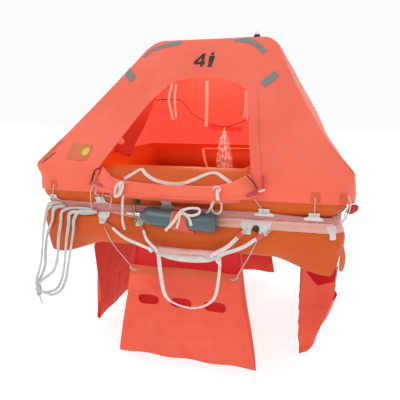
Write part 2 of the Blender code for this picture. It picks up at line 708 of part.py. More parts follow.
def topping_valve(mat):
    """Round black valve on the double patch."""
    angle = math.asin((TOPPING_Z - LOWER_Z) / TUBE_R)
    normal = Vector((0, -math.cos(angle), math.sin(angle)))
    foot = Vector((TOPPING_X, -TUBE_HALF, LOWER_Z)) + normal * (TUBE_R + BAND_LIFT + PATCH_EXTRA + 2 * GAP)
    turned("topping_valve", foot, foot + normal, TOPPING_PROFILE, mat)


# Boarding ladder

def boarding_ladder(mat_strap, mat_pad):
    length = RUNG_ENDS[1] - RUNG_ENDS[0]
    profile = [(0, RUNG_END_R), (RUNG_END, RUNG_R), (length - RUNG_END, RUNG_R), (length, RUNG_END_R)]
    turned("ladder_rung", (RUNG_ENDS[0], RUNG_Y, RUNG_Z), (RUNG_ENDS[1], RUNG_Y, RUNG_Z), profile, mat_pad, sides=12)
    before = RUNG_Y - RUNG_R - STRAP_T / 2 - GAP / 2
    behind = RUNG_Y + RUNG_R + STRAP_T / 2 + GAP
    for i, (eye, end) in enumerate(zip(EYES, RUNG_POINTS)):
        patch_face = on_tube(EYE_Z - STRAP_W / 2, LOWER_Z, BAND_LIFT + PATCH_EXTRA)
        start = Vector((eye, -(patch_face + STRAP_T / 2 + GAP / 2), EYE_Z))
        steep = GAP if i in (1, 2) else 0.0
        finish = Vector((end, before - steep, RUNG_Z + STRAP_OVER))
        middle = (start + finish) / 2 + Vector(STRAP_SAG)
        middle.y = finish.y
        bulge = start.lerp(middle, STRAP_BULGE_SHARE)
        bulge.y = -(TUBE_HALF + TUBE_R + STRAP_OUT)
        ribbon("ladder_strap_%d" % (i + 1), [start, bulge, middle, finish], None, STRAP_W, STRAP_T, mat_strap,
               facing=FRONT)
    ribbon("ladder_webbing", [(x, behind, RUNG_Z + z) for x, z in WEBBING_PATH], None, STRAP_W, STRAP_T, mat_strap,
           facing=FRONT)
    ribbon("ladder_foot_loop", [(x, behind + STRAP_T + GAP, RUNG_Z + z) for x, z in FOOT_LOOP], None, WEBBING_W,
           STRAP_T, mat_strap, steps=3, facing=FRONT)


# Water pockets

def pocket_rings(shape):
    """Back and front outlines of a pocket at each level, out from the raft's middle."""
    levels = []
    for level in POCKET_LEVELS:
        height = level["height"] - shape["sag"] * level["sag"]
        lean = shape["lean"] * level["lean"]
        front = level["front"] + shape["billow"] * level["billow"] - lean
        back_half = level["back_half"] + shape["flare"] * level["flare"]
        levels.append((height, level["back"] - lean, front, back_half, level["front_half"]))
    return levels


def pocket(name, turns, mat, shape):
    """Bag open at its top on the outer side, with three drain holes."""
    columns = 6
    bm = bmesh.new()
    grid = []
    for height, back, front, back_half, front_half in pocket_rings(shape):
        line = []
        for i in range(columns + 1):
            line.append((back_half * (2 * i / columns - 1), -back, height))
        for i in range(columns + 1):
            across = front_half * (1 - 2 * i / columns)
            line.append((across, -front, height))
        grid.append([bm.verts.new(quarter_turn(turns) @ Vector(point)) for point in line])
    count = len(grid[0])
    for level, (upper, lower) in enumerate(zip(grid, grid[1:])):
        for i in range(count):
            k = (i + 1) % count
            is_back = i < columns
            is_front = columns < i < count - 1
            if level == 0 and not is_back:
                continue
            if level == 1 and not (is_back or is_front):
                continue
            bm.faces.new((upper[i], upper[k], lower[k], lower[i]))
    floor = grid[-1]
    for i in range(columns):
        bm.faces.new((floor[i], floor[i + 1], floor[count - 2 - i], floor[count - 1 - i]))
    loose = [v for v in bm.verts if not v.link_faces]
    bmesh.ops.delete(bm, geom=loose, context="VERTS")
    bmesh.ops.recalc_face_normals(bm, faces=bm.faces)
    mesh = bpy.data.meshes.new(name)
    bm.to_mesh(mesh)
    bm.free()
    bag = add_object(name, mesh, mat)
    wall = bag.modifiers.new("cloth", "SOLIDIFY")
    wall.thickness = POCKET_T
    wall.offset = 0.0
    for i, x in enumerate(HOLE_CENTRES):
        hole = hole_cutter("%s_hole_%d" % (name, i), x, turns)
        combine(bag, hole, "DIFFERENCE")
    return bag


def hole_cutter(name, x, turns):
    """Oval prism through the outer wall of a pocket."""
    ring = []
    for i in range(16):
        angle = 2 * math.pi * i / 16
        ring.append((x + HOLE_HALF_W * math.cos(angle), HOLE_Z + HOLE_HALF_H * math.sin(angle)))
    rings = [[quarter_turn(turns) @ Vector((px, y, pz)) for px, pz in ring] for y in DRAIN_CUT]
    return loft(name, rings, bpy.data.materials[0])


def pockets(mat, mat_tie):
    for turns, side in enumerate(("front", "right", "back", "left")):
        shape = POCKET_SHAPES[side]
        pocket("pocket_" + side, turns, mat, shape)
        hem_out = POCKET_LEVELS[1]["front"] + shape["billow"] + TIE_OUT
        hem_z = POCKET_HEM_Z - shape["sag"] - TIE_DROP
        for hand, sign in (("a", -1), ("b", 1)):
            top = Vector((sign * TIE_TOP_HALF, -on_tube(TIE_TOP_Z, LOWER_Z, TIE_LIFT), TIE_TOP_Z))
            hem = Vector((sign * TIE_HEM_HALF, -hem_out, hem_z))
            middle = top.lerp(hem, TIE_BOW_SHARE) + Vector(TIE_BOW)
            route = [quarter_turn(turns) @ p for p in (top, middle, hem)]
            cord("pocket_tie_%s_%s" % (side, hand), route, TIE_R, mat_tie, steps=4)


# Small fittings

def canopy_light(mat_base, mat_lens):
    top = sheet_height(0) + GAP
    turned("light_base", (LIGHT_X, 0, top), (LIGHT_X, 0, top + 1), LIGHT_BASE, mat_base)
    lens = top + LIGHT_BASE[-1][0] + GAP
    turned("light_lens", (LIGHT_X, 0, lens), (LIGHT_X, 0, lens + 1), LIGHT_LENS, mat_lens)


def corner_float(mat):
    """Oval float tied at the front right corner."""
    bm = bmesh.new()
    bmesh.ops.create_uvsphere(bm, u_segments=14, v_segments=9, radius=1.0)
    bmesh.ops.scale(bm, vec=FLOAT_RADII, verts=bm.verts)
    tilt = Matrix.Rotation(math.radians(FLOAT_TILT), 3, "Y")
    bmesh.ops.rotate(bm, cent=(0, 0, 0), matrix=tilt, verts=bm.verts)
    bmesh.ops.translate(bm, vec=FLOAT_CENTRE, verts=bm.verts)
    add_object("corner_float", mesh_from_bmesh("corner_float", bm), mat)


def righting_loop(mat):
    """Webbing loop under the right side of the lower tube."""
    slant = math.radians(LOOP_ANGLE)
    normal = Vector((math.cos(slant), 0, math.sin(slant)))
    legs = []
    for y in LOOP_LEGS:
        out_sag, down_sag = corner_sag(y / (TUBE_HALF + TUBE_R * normal.x), slant - LOOP_W / 2 / TUBE_R)
        sag = out_sag * normal.x - down_sag * normal.z
        legs.append(Vector((TUBE_HALF, y, LOWER_Z)) + normal * (TUBE_R + LOOP_LIFT + sag))
    low = (legs[0] + legs[1]) / 2 + Vector(LOOP_HANG)
    first, last = [[leg, leg + normal * LOOP_LEAVES, leg.lerp(low, LOOP_BEND_SHARE)] for leg in legs]
    ribbon("righting_loop", first + [low] + last[::-1], (-normal.z, 0, normal.x), LOOP_W, STRAP_T, mat)


def sheet_normal():
    angle = slope_angle()
    return Vector((0, -math.sin(angle), math.cos(angle)))


def on_front_sheet(x, z, lift):
    """Point on the front sheet at a height, lifted off it."""
    y = -(EAVE_HALF - (z - EAVE_Z) / math.tan(slope_angle()))
    return Vector((x, y, z)) + sheet_normal() * lift


def label_patch(mat_patch, mat_dot):
    rings = [[on_front_sheet(x, CREASE_Z + z, lift) for x, z in LABEL] for lift in (GAP, LABEL_T)]
    loft("label_patch", rings, mat_patch)
    centre = on_front_sheet(LABEL_DOT[0], CREASE_Z + LABEL_DOT[1], LABEL_T + GAP)
    profile = [(0, LABEL_DOT_R), (LABEL_DOT_T, LABEL_DOT_R)]
    turned("label_dot", centre, centre + sheet_normal(), profile, mat_dot, sides=12)


def line_hank(mat):
    """White lines that hang from the left of the front to one knot."""
    for i, line in enumerate(HANK_LINES):
        x, height = line["x"], CREASE_Z + line["over"]
        if height > CREASE_Z + CREASE_TAPE_LOW:
            normal, face = Vector((0, -1, 0)), CREASE_TAPE_OUT
        else:
            face = on_tube(height, LOWER_Z, BAND_LIFT)
            normal = Vector((0, TUBE_HALF - face, height - LOWER_Z)).normalized()
        start = Vector((x, -face, height)) + normal * 2 * GAP
        out = start + normal * LINE_LEAVES + Vector(LINE_TIP)
        drop = Vector((x, min(start.y - LINE_DROP[0], LINES_OUT), start.z - LINE_DROP[1]))
        falls = [Vector((px, line["y"], CREASE_Z + over)) for px, over in line["falls"]]
        end = HANK_KNOT + Vector(line["end"])
        before = end + Vector(line["arrives"])
        cord("hank_line_%d" % (i + 1), [start, out, drop] + falls + [before, end], LINE_R, mat, steps=5)
    top = HANK_KNOT + Vector((0, 0, KNOT_TOP - KNOT_SEAT))
    turned("hank_knot", top, top - Vector((0, 0, 1)), KNOT_PROFILE, mat, sides=12)
    tail_start = KNOT_PROFILE[-1][0] + TAIL_CLEAR + GAP
    route = [top - Vector((0, 0, tail_start))] + [top + Vector((-x, y, z)) for x, y, z in TAIL_PATH]
    cord("hank_tail", route, LINE_R, mat, steps=4)


def build():
    tube = material("tube_fabric", TUBE_ORANGE, 0.55)
    cloth = material("canopy_cloth", CLOTH_RED, 0.75)
    pocket_cloth = material("pocket_cloth", CLOTH_RED, 0.8)
    floor_cloth = material("floor_cloth", TUBE_ORANGE, 0.6)
    tape = material("crease_tape", BAND_PINK, 0.6)
    band = material("pale_band", (0.80, 0.62, 0.58), 0.6)
    steel = material("gas_steel", (0.045, 0.085, 0.10), 0.35, 0.3)
    brass = material("brass", (0.55, 0.42, 0.20), 0.35, 1.0)
    webbing = material("webbing", WEB_WHITE, 0.85)
    pad = material("rung_pad", (0.80, 0.62, 0.60), 0.8)
    black = material("black_plastic", HARD_BLACK, 0.45)
    lens = material("lens", (0.85, 0.85, 0.82), 0.2)
    rope = material("rope", WEB_WHITE, 0.9)
    patch = material("label_patch", (0.55, 0.20, 0.04), 0.6)
    yellow = material("yellow_dot", (0.75, 0.65, 0.05), 0.6)
    tubes(tube)
    raft_floor(floor_cloth)
    arch_tube(tube)
    canopy(cloth)
    door_roll(cloth)
    bands(tape, band)
    gas_cylinder(steel, brass, cloth)
    inlet_plate(black)
    topping_valve(black)
    boarding_ladder(webbing, pad)
    pockets(pocket_cloth, rope)
    canopy_light(black, lens)
    corner_float(cloth)
    righting_loop(tube)
    label_patch(patch, yellow)
    line_hank(rope)


build()
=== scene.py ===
from math import acos, asin, atan2, copysign, cos, exp, hypot, pi, radians, sin, sqrt, tan
import bpy
from mathutils import Matrix, Vector, noise


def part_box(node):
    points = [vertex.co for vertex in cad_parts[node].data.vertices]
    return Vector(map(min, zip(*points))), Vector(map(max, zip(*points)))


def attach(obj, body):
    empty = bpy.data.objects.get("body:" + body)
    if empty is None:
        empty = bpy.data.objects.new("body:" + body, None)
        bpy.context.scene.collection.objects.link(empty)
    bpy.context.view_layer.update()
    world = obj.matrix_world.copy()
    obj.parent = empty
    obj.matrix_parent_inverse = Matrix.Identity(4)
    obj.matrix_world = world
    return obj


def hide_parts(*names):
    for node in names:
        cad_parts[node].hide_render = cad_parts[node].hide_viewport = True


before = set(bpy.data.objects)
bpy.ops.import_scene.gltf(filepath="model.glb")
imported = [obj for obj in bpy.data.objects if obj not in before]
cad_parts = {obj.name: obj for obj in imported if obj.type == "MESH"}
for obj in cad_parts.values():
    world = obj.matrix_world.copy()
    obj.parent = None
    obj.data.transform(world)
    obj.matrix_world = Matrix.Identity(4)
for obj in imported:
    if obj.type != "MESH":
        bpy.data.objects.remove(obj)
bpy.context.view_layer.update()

print("frame loaded:", len(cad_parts), "nodes")

# Driving sizes, as in the part's own source; everything is in metres
raft = {
    "crease": 0.195,          # height of the crease between the two tubes
    "tubeHalf": 0.73,         # centre of the raft to a tube's centreline
    "tubeRadius": 0.12,
    "tubeRise": 0.11,         # tube centreline above or below the crease
}
crease, tubeHalf, tubeRadius = raft["crease"], raft["tubeHalf"], raft["tubeRadius"]
upperZ, lowerZ = crease + raft["tubeRise"], crease - raft["tubeRise"]
sideNames = ("Front", "Right", "Back", "Left")


# Camera, at the photo's viewing angle
cameraSet = {
    "place": (0.616, -2.79, 0.723),
    "downwards": 12.68,       # degrees
    "turn": 14.3,
    "lens": 36.0,
    "sensor": 36.0,
}


def makeCamera(setting):
    bpy.ops.object.camera_add(location=setting["place"])
    camera = bpy.context.object
    camera.rotation_euler = (radians(90 - setting["downwards"]), 0, radians(setting["turn"]))
    camera.data.lens = setting["lens"]
    camera.data.sensor_width = setting["sensor"]
    bpy.context.scene.camera = camera


makeCamera(cameraSet)


# Hand tools

def letGo():
    if bpy.context.object and bpy.context.object.mode != "OBJECT":
        bpy.ops.object.mode_set(mode="OBJECT")
    bpy.ops.object.select_all(action="DESELECT")


def take(piece):
    letGo()
    piece.select_set(True)
    bpy.context.view_layer.objects.active = piece


def applyModifiers(piece):
    take(piece)
    for step in list(piece.modifiers):
        bpy.ops.object.modifier_apply(modifier=step.name)


def openEdit(piece):
    take(piece)
    bpy.ops.object.mode_set(mode="EDIT")
    bpy.ops.mesh.select_all(action="SELECT")


def closeEdit():
    bpy.ops.mesh.select_all(action="SELECT")
    bpy.ops.mesh.normals_make_consistent(inside=False)
    bpy.ops.object.mode_set(mode="OBJECT")


def weld(piece, distance=0.00005):
    openEdit(piece)
    bpy.ops.mesh.remove_doubles(threshold=distance)
    closeEdit()


def shade(piece, angle=40):
    take(piece)
    bpy.ops.object.shade_smooth_by_angle(angle=radians(angle))


def gridPiece(name, columns, rows, shape, size=(1, 1)):
    # A primitive grid laid out by shape(u, v); its UV map is in metres
    letGo()
    bpy.ops.mesh.primitive_grid_add(x_subdivisions=columns, y_subdivisions=rows, size=1)
    piece = bpy.context.object
    piece.name = name
    for corner in piece.data.uv_layers[0].data:
        corner.uv = (corner.uv[0] * size[0], corner.uv[1] * size[1])
    for point in piece.data.vertices:
        point.co = shape(point.co.x + 0.5, point.co.y + 0.5)
    return piece


def addWall(piece, thickness, offset=0.0, inside=False):
    step = piece.modifiers.new("wall", "SOLIDIFY")
    step.thickness = thickness
    step.offset = offset
    if inside:                # the inner side's faces are marked, for a finish of their own with painted light or shade
        piece.data.materials.append(None)
        piece.data.materials.append(None)
        step.material_offset = 1
    applyModifiers(piece)


def clothPiece(name, columns, rows, shape, size, thickness, angle=40, offset=0.0, welded=0.0):
    # A grid of cloth with its own thickness
    piece = gridPiece(name, columns, rows, shape, size)
    if welded:
        weld(piece, welded)
    addWall(piece, thickness, offset)
    shade(piece, angle)
    return piece


def pushedOutline(outline, along):
    # A flat outline pushed along into a solid, to cut with
    letGo()
    bpy.ops.mesh.primitive_circle_add(vertices=len(outline), fill_type="NGON", radius=1)
    cutter = bpy.context.object
    for point, place in zip(cutter.data.vertices, outline):
        point.co = place
    openEdit(cutter)
    bpy.ops.mesh.extrude_region_move(TRANSFORM_OT_translate={"value": along})
    closeEdit()
    return cutter


def cutAway(piece, cutter):
    cut = piece.modifiers.new("cut", "BOOLEAN")
    cut.operation = "DIFFERENCE"
    cut.solver = "EXACT"
    cut.object = cutter
    applyModifiers(piece)
    bpy.data.objects.remove(cutter, do_unlink=True)


def nearest(rows, share):
    return rows[round(share * (len(rows) - 1))]


def curveThrough(points, steps):
    points = [Vector(p) for p in points]
    if steps <= 1:
        return points
    ends = [2 * points[0] - points[1]] + points + [2 * points[-1] - points[-2]]
    path = []
    for a, b, c, d in zip(ends, ends[1:], ends[2:], ends[3:]):
        for i in range(steps):
            t = i / steps
            path.append(0.5 * (2 * b + (c - a) * t + (2 * a - 5 * b + 4 * c - d) * t ** 2
                               + (3 * b - a - 3 * c + d) * t ** 3))
    path.append(points[-1])
    return path


def pathLength(path):
    return sum((b - a).length for a, b in zip(path, path[1:]))


def alongPath(path):
    last = len(path) - 1
    return [(path[min(i + 1, last)] - path[max(i - 1, 0)]).normalized() for i in range(last + 1)]


def tubeAlong(name, points, radius, sides=10, steps=4, squeeze=1.0, first=None, rounded=0.5):
    # Round or oval tube along a path with rounded ends; radius is a number or a function of the share along it
    path = curveThrough(points, steps)
    directions = alongPath(path)
    size = radius if callable(radius) else lambda share: radius
    side = Vector(first) if first else directions[0].orthogonal()
    across = []
    for direction in directions:
        side = (side - side.project(direction)).normalized()
        across.append(side)
    last = len(path) - 1
    ends = [(0.0, 0.0), (0.5, 0.13), (0.87, 0.5)]       # radius and reach of the rounded end's rings
    rings = [(0, r, -(1 - reach) * rounded) for r, reach in ends] + [(i, 1.0, 0.0) for i in range(last + 1)]
    rings += [(last, r, (1 - reach) * rounded) for r, reach in reversed(ends)]

    def shape(u, v):
        i, share, reach = nearest(rings, v)
        angle, wide = 2 * pi * u, size(i / last)
        spread = cos(angle) * across[i] + sin(angle) * squeeze * directions[i].cross(across[i])
        return path[i] + directions[i] * reach * wide + spread * wide * share

    piece = gridPiece(name, sides, len(rings) - 1, shape, (2 * pi * size(0.5), pathLength(path)))
    weld(piece)
    shade(piece, 60)
    return piece


def tapeAlong(name, points, width, thickness, facing, steps=4, across=2, curl=0.0):
    # Flat webbing along a path; facing is the way its face looks, or one way for each given point,
    # and the width is a number or a function of the share along it
    path = curveThrough(points, steps)
    directions = alongPath(path)
    last = len(path) - 1
    if isinstance(facing, list):
        faces = [v.normalized() for v in curveThrough(facing, steps)]
    else:
        faces = [Vector(facing)] * len(path)
    size = width if callable(width) else lambda share: width

    def shape(u, v):
        i = round(v * last)
        side = directions[i].cross(faces[i]).normalized()
        face = side.cross(directions[i]).normalized()
        return path[i] + side * (u - 0.5) * size(i / last) + face * (curl * (1 - (2 * u - 1) ** 2))

    piece = gridPiece(name, across, last, shape, (size(0.5), pathLength(path)))
    addWall(piece, thickness)
    weld(piece, 0.00002)
    shade(piece, 50)
    return piece


def lathe(name, start, end, profile, sides=24):
    # Turned piece along a line; the profile gives (distance along it, radius)
    start, end = Vector(start), Vector(end)
    axis = (end - start).normalized()
    side = axis.orthogonal().normalized()
    up = axis.cross(side)
    rows = [(profile[0][0], 0.0)] + profile + [(profile[-1][0], 0.0)]

    def shape(u, v):
        along, radius = nearest(rows, v)
        angle = 2 * pi * u
        return start + axis * along + radius * (cos(angle) * side + sin(angle) * up)

    piece = gridPiece(name, sides, len(rows) - 1, shape)
    weld(piece, 0.00002)
    shade(piece, 35)
    return piece


def joined(pieces, name):
    letGo()
    for piece in pieces:
        piece.select_set(True)
    bpy.context.view_layer.objects.active = pieces[0]
    bpy.ops.object.join()
    pieces[0].name = name
    return pieces[0]


def quarterTurn(turns):
    return Matrix.Rotation(turns * pi / 2, 4, "Z")


def ease(low, high, value):
    share = max(0.0, min(1.0, (value - low) / (high - low)))
    return share * share * (3 - 2 * share)


def roundedCorner(x, across, out, rounding):
    # A place on a square's side, carried round its rounded corner
    past = abs(x) - (across - rounding)
    if past <= 0:
        return x, out
    angle = past / rounding * pi / 4
    return (copysign(across - rounding + rounding * sin(angle), x),
            out - rounding + rounding * cos(angle))


def aroundRaft(u):
    # The side that a share of the way round is on, counted from the front, and from -1 to 1 along it,
    # with the columns closer at the corners
    place = (u * 4) % 4
    turn = int(place)
    q = 2 * (place - turn) - 1
    return turn, q * (1.35 - 0.35 * q * q)


def wobble(x, y, z):
    return noise.noise(Vector((x, y, z)))


def overCrease(points):
    # Places given as (x, y, height over the crease)
    return [Vector((x, y, crease + over)) for x, y, over in points]


def outAt(over, centre, lift):
    # Distance out to a tube's outer face at a height over the crease
    reach = tubeRadius + lift
    return tubeHalf + sqrt(max(0.0, reach ** 2 - (crease + over - centre) ** 2))


def give(piece, finish, slot, *replaced, body="raft", inside=(), marks=()):
    # A piece's finish and its inside's, each face's mark among them, its body and the nodes it replaces. The slot is
    # not used.
    piece.data.materials.clear()
    for name in (finish, *inside):
        piece.data.materials.append(finishes[name])
    for face, mark in zip(piece.data.polygons, marks):
        face.material_index = mark
    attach(piece, body)
    if replaced:
        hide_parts(*replaced)
    return piece


def hangingCord(path):
    tuple(path[0])
    pathLength(path)
    [tuple(p) for p in path]


# Finishes

def linear(code):
    # A colour as a maker's sheet gives it, such as E4572E, in Blender's own scale
    parts = [int(code[i:i + 2], 16) / 255 for i in (0, 2, 4)]
    return tuple(p / 12.92 if p <= 0.04045 else ((p + 0.055) / 1.055) ** 2.4 for p in parts)


def setUp(node, **values):
    # Each value goes to the node's input or setting of that name; another node's output is linked to it
    for key, value in values.items():
        socket = node.inputs.get(key.replace("_", " "))
        if isinstance(value, bpy.types.NodeSocket):
            node.id_data.links.new(value, socket)
        elif socket is not None:
            socket.default_value = value
        else:
            setattr(node, key, value)
    return node


def addNode(shader, kind, **values):
    return setUp(shader.id_data.nodes.new(kind), **values)


def newFinish(name, roughness, metal=0.0):
    material = bpy.data.materials.new(name)
    material.use_nodes = True
    return material, setUp(material.node_tree.nodes["Principled BSDF"], Roughness=roughness, Metallic=metal)


def coordinates(shader, source, stretch=(1, 1, 1)):
    place = addNode(shader, "ShaderNodeTexCoord").outputs[source]
    return addNode(shader, "ShaderNodeMapping", Vector=place, Scale=stretch).outputs["Vector"]


def twoTones(shader, share, low, deep, high, colour):
    ramp = addNode(shader, "ShaderNodeValToRGB", Fac=share)
    for stop, position, tone in zip(ramp.color_ramp.elements, (low, high), (deep, colour)):
        stop.position = position
        stop.color = (*tone, 1)
    return ramp.outputs["Color"]


def mottled(shader, colour, deep, scale, vector, low=0.35, high=0.7):
    # The colour drifts between two tones, as on a coated cloth
    cloud = addNode(shader, "ShaderNodeTexNoise", Vector=vector, Scale=scale, Detail=5.0, Roughness=0.6)
    setUp(shader, Base_Color=twoTones(shader, cloud.outputs["Fac"], low, deep, high, colour))


def bumped(shader, height, strength, distance, onto=None):
    bump = addNode(shader, "ShaderNodeBump", Height=height, Strength=strength, Distance=distance)
    if onto:
        setUp(bump, Normal=onto)
    setUp(shader, Normal=bump.outputs["Normal"])
    return bump.outputs["Normal"]


def crossedThreads(shader, vector, operation, *sets):
    # Two sets of threads, each with its direction and scale
    both = addNode(shader, "ShaderNodeMath", operation=operation)
    for socket, (direction, scale) in zip(both.inputs, sets):
        threads = addNode(shader, "ShaderNodeTexWave", Vector=vector, bands_direction=direction, Scale=scale)
        both.id_data.links.new(threads.outputs["Fac"], socket)
    return both.outputs["Value"]


weaveSet = {
    "cloth": 900.0 / 6.283,   # scale of the plain weave
    "rib": 0.0016,            # a webbing's rib
    "lay": 0.006,             # one turn of a line's strands
}


def clothFinish(name, colour, deep, roughness, crumple=0.5, paintedGlow=0.0, sheen=0.15, shine=0.5):
    # Coated cloth: cloudy tone, a soft crumple and a fine plain weave; paintedGlow is painted light, an emission in
    # the cloth's colour
    material, shader = newFinish(name, roughness)
    vector = coordinates(shader, "Object")
    mottled(shader, linear(colour), linear(deep), 2.6, vector)
    crumples = addNode(shader, "ShaderNodeTexNoise", Vector=vector, Scale=9.0, Detail=4.0, Roughness=0.55,
                       Distortion=0.6)
    soft = bumped(shader, crumples.outputs["Fac"], crumple, 0.02)
    weave = crossedThreads(shader, vector, "MULTIPLY", ("X", weaveSet["cloth"]), ("Z", weaveSet["cloth"]))
    bumped(shader, weave, 0.12, 0.0006, soft)
    setUp(shader, Sheen_Weight=sheen, Specular_IOR_Level=shine)
    # Painted light: the cloth glows in its own colour
    if paintedGlow:
        setUp(shader, Emission_Color=(*linear(colour), 1), Emission_Strength=paintedGlow)
    return material


def webbingFinish(name, colour, deep, rib=weaveSet["rib"]):
    # Woven tape: ribs across the tape and a chevron of threads, on the tape's own UV map
    material, shader = newFinish(name, 0.8)
    vector = coordinates(shader, "UV")
    mottled(shader, linear(colour), linear(deep), 30.0, vector, 0.3, 0.65)
    weave = crossedThreads(shader, vector, "ADD", ("Y", 1 / (rib * 3.1416)), ("DIAGONAL", 1 / (rib * 4)))
    bumped(shader, weave, 0.35, 0.0008)
    setUp(shader, Sheen_Weight=0.2)
    return material


def ropeFinish(name, colour, deep, lay=weaveSet["lay"]):
    # Braided line: slanting strands on the line's own UV map
    material, shader = newFinish(name, 0.85)
    vector = coordinates(shader, "UV", (1 / lay, 1 / (lay * 2), 1))
    mottled(shader, linear(colour), linear(deep), 3.0, vector, 0.3, 0.7)
    strands = addNode(shader, "ShaderNodeTexWave", Vector=vector, bands_direction="DIAGONAL", Scale=0.6)
    bumped(shader, strands.outputs["Fac"], 0.5, 0.0012)
    return material


def smoothFinish(name, colour, roughness, metal=0.0, grain=0.15, scale=60.0, coat=0.0):
    # Hard or moulded surface with a faint grain and an uneven polish
    material, shader = newFinish(name, roughness, metal)
    vector = coordinates(shader, "Object")
    base = linear(colour)
    mottled(shader, base, tuple(c * 0.8 for c in base), scale / 8, vector)
    polish = addNode(shader, "ShaderNodeTexNoise", Vector=vector, Scale=scale, Detail=3.0).outputs["Fac"]
    spread = addNode(shader, "ShaderNodeMapRange", Value=polish, To_Min=max(0.02, roughness - 0.08),
                     To_Max=min(1.0, roughness + 0.08))
    bumped(shader, polish, grain, 0.0008)
    setUp(shader, Roughness=spread.outputs["Result"], Coat_Weight=coat)
    return material


def clearFinish():
    # Crumpled clear film with bright creases
    material, shader = newFinish("clearFilm", 0.25)
    creases = addNode(shader, "ShaderNodeTexVoronoi", feature="DISTANCE_TO_EDGE", Scale=20.0,
                      Vector=coordinates(shader, "Object")).outputs["Distance"]
    bumped(shader, creases, 0.5, 0.002)
    setUp(shader, Alpha=twoTones(shader, creases, 0.015, (0.80,) * 3, 0.06, (0.12,) * 3),
          Base_Color=(0.90, 0.72, 0.68, 1))
    return material


def reflectiveTape():
    # Grey retro-reflective tape: a fine honeycomb under a satin film
    material, shader = newFinish("reflectiveTape", 0.35, 0.25)
    cells = addNode(shader, "ShaderNodeTexVoronoi", feature="DISTANCE_TO_EDGE", Scale=1.0, Randomness=0.15,
                    Vector=coordinates(shader, "UV", (160, 160, 160))).outputs["Distance"]
    setUp(shader, Base_Color=twoTones(shader, cells, 0.02, linear("9A9792"), 0.12, linear("6F6C68")))
    bumped(shader, cells, 0.2, 0.0004)
    return material


finishes = {"clearBag": clearFinish(), "reflective": reflectiveTape()}
finishRows = {
    clothFinish: {            # colour, deeper tone, roughness, crumple, painted glow, sheen, shine
        "canopy": ("canopyCloth", "EC6549", "E3583E", 0.62, 0.35),
        # canopyInside: the canopy's inner side, with a painted glow for the light that comes through the cloth
        "canopyInside": ("canopyInside", "F0604E", "E4523F", 0.7, 0.35, 0.52),
        "pocket": ("pocketCloth", "E85639", "DC482E", 0.66),
        # pocketInside and pocketBack: darker red for painted shade inside the pockets and on their side that faces the
        # raft's middle, with a painted glow
        "pocketInside": ("pocketInside", "C4282A", "B31F22", 0.75, 0.5, 0.45),
        "pocketBack": ("pocketBack", "D22C14", "C4260F", 0.72, 0.5, 0.12, 0.0),
        "tube": ("tubeFabric", "CD5818", "C04D12", 0.5, 0.12, 0.0, 0.0, 0.25),
        # arch: the tube fabric painted dark red, its look in shade under the canopy, with a painted glow
        "arch": ("archFabric", "B83828", "AA2E20", 0.5, 0.12, 0.28, 0.05),
        "sleeve": ("sleeveCloth", "D9502F", "CC4426", 0.66),
        "hemPatch": ("hemPatchCloth", "D25622", "C44C1C", 0.6, 0.3),
        # cabinPatch: a painted glow, so the patch does not go dark in the cabin's shade
        "cabinPatch": ("cabinPatchCloth", "E2453A", "D43A30", 0.7, 0.3, 0.50),
        # salmon: the cabin's ties, tapes and discs, with a painted glow
        "salmon": ("salmonTape", "E39A86", "D78B77", 0.6, 0.2, 0.25),
        "redTag": ("redTagCloth", "C9314A", "B5263C", 0.6, 0.2),
        "strapTag": ("strapTagCloth", "CE5546", "BE4436", 0.7, 0.6),
        "tape": ("creaseTape", "C47E7B", "B36B69", 0.55, 0.4),
        "lip": ("tapeLip", "D39A94", "C88C85", 0.55, 0.4),
        "band": ("paleBand", "DCA899", "D0988A", 0.55, 0.4),
        "patch": ("whitePatch", "D9D2CE", "C6BFBB", 0.6, 0.2),
        "label": ("labelCloth", "CB6538", "C05A30", 0.6, 0.3),
        "pad": ("rungSleeve", "DBAFA6", "C9978D", 0.8, 0.5, 0.0, 0.3),
    },
    webbingFinish: {          # colour, deeper tone
        "webbing": ("whiteWebbing", "DDD4D0", "C4B8B4"),
        "webbingOrange": ("orangeWebbing", "D9682E", "C4581F"),
        # hank: white lines greyed to their look in shadow, which is painted shade
        "hank": ("hankWebbing", "C9C6C2", "A9A5A2"),
        "tie": ("cottonTie", "DDCFC8", "C9B8B0"),
    },
    ropeFinish: {             # colour, deeper tone, lay
        "rope": ("whiteLine", "D2CFCB", "AFA9A4"),
        "darkCord": ("darkCord", "6E1F1E", "511514", 0.004),
    },
    smoothFinish: {           # colour, roughness, metal, grain, scale of the grain, coat
        "steel": ("cylinderPaint", "40555B", 0.22, 0.0, 0.02, 14.0, 0.5),
        "brass": ("brass", "B08A4A", 0.32, 1.0),
        "chrome": ("chromedBrass", "C8CACC", 0.2, 1.0, 0.05),
        "black": ("blackRubber", "1D1D1F", 0.5),
        "darkMetal": ("darkPlate", "6A5A3C", 0.4, 0.8),
        "lens": ("lensPlastic", "E4E6E2", 0.12, 0.0, 0.02),
        "yellow": ("yellowDot", "D9D23A", 0.45),
        "float": ("floatFoam", "B8242C", 0.6, 0.0, 0.3),
        "mark": ("blackPrint", "141414", 0.6),
    },
}
for makeFinish, rows in finishRows.items():
    finishes.update({key: makeFinish(*values) for key, values in rows.items()})
print("finishes ready:", len(finishes))


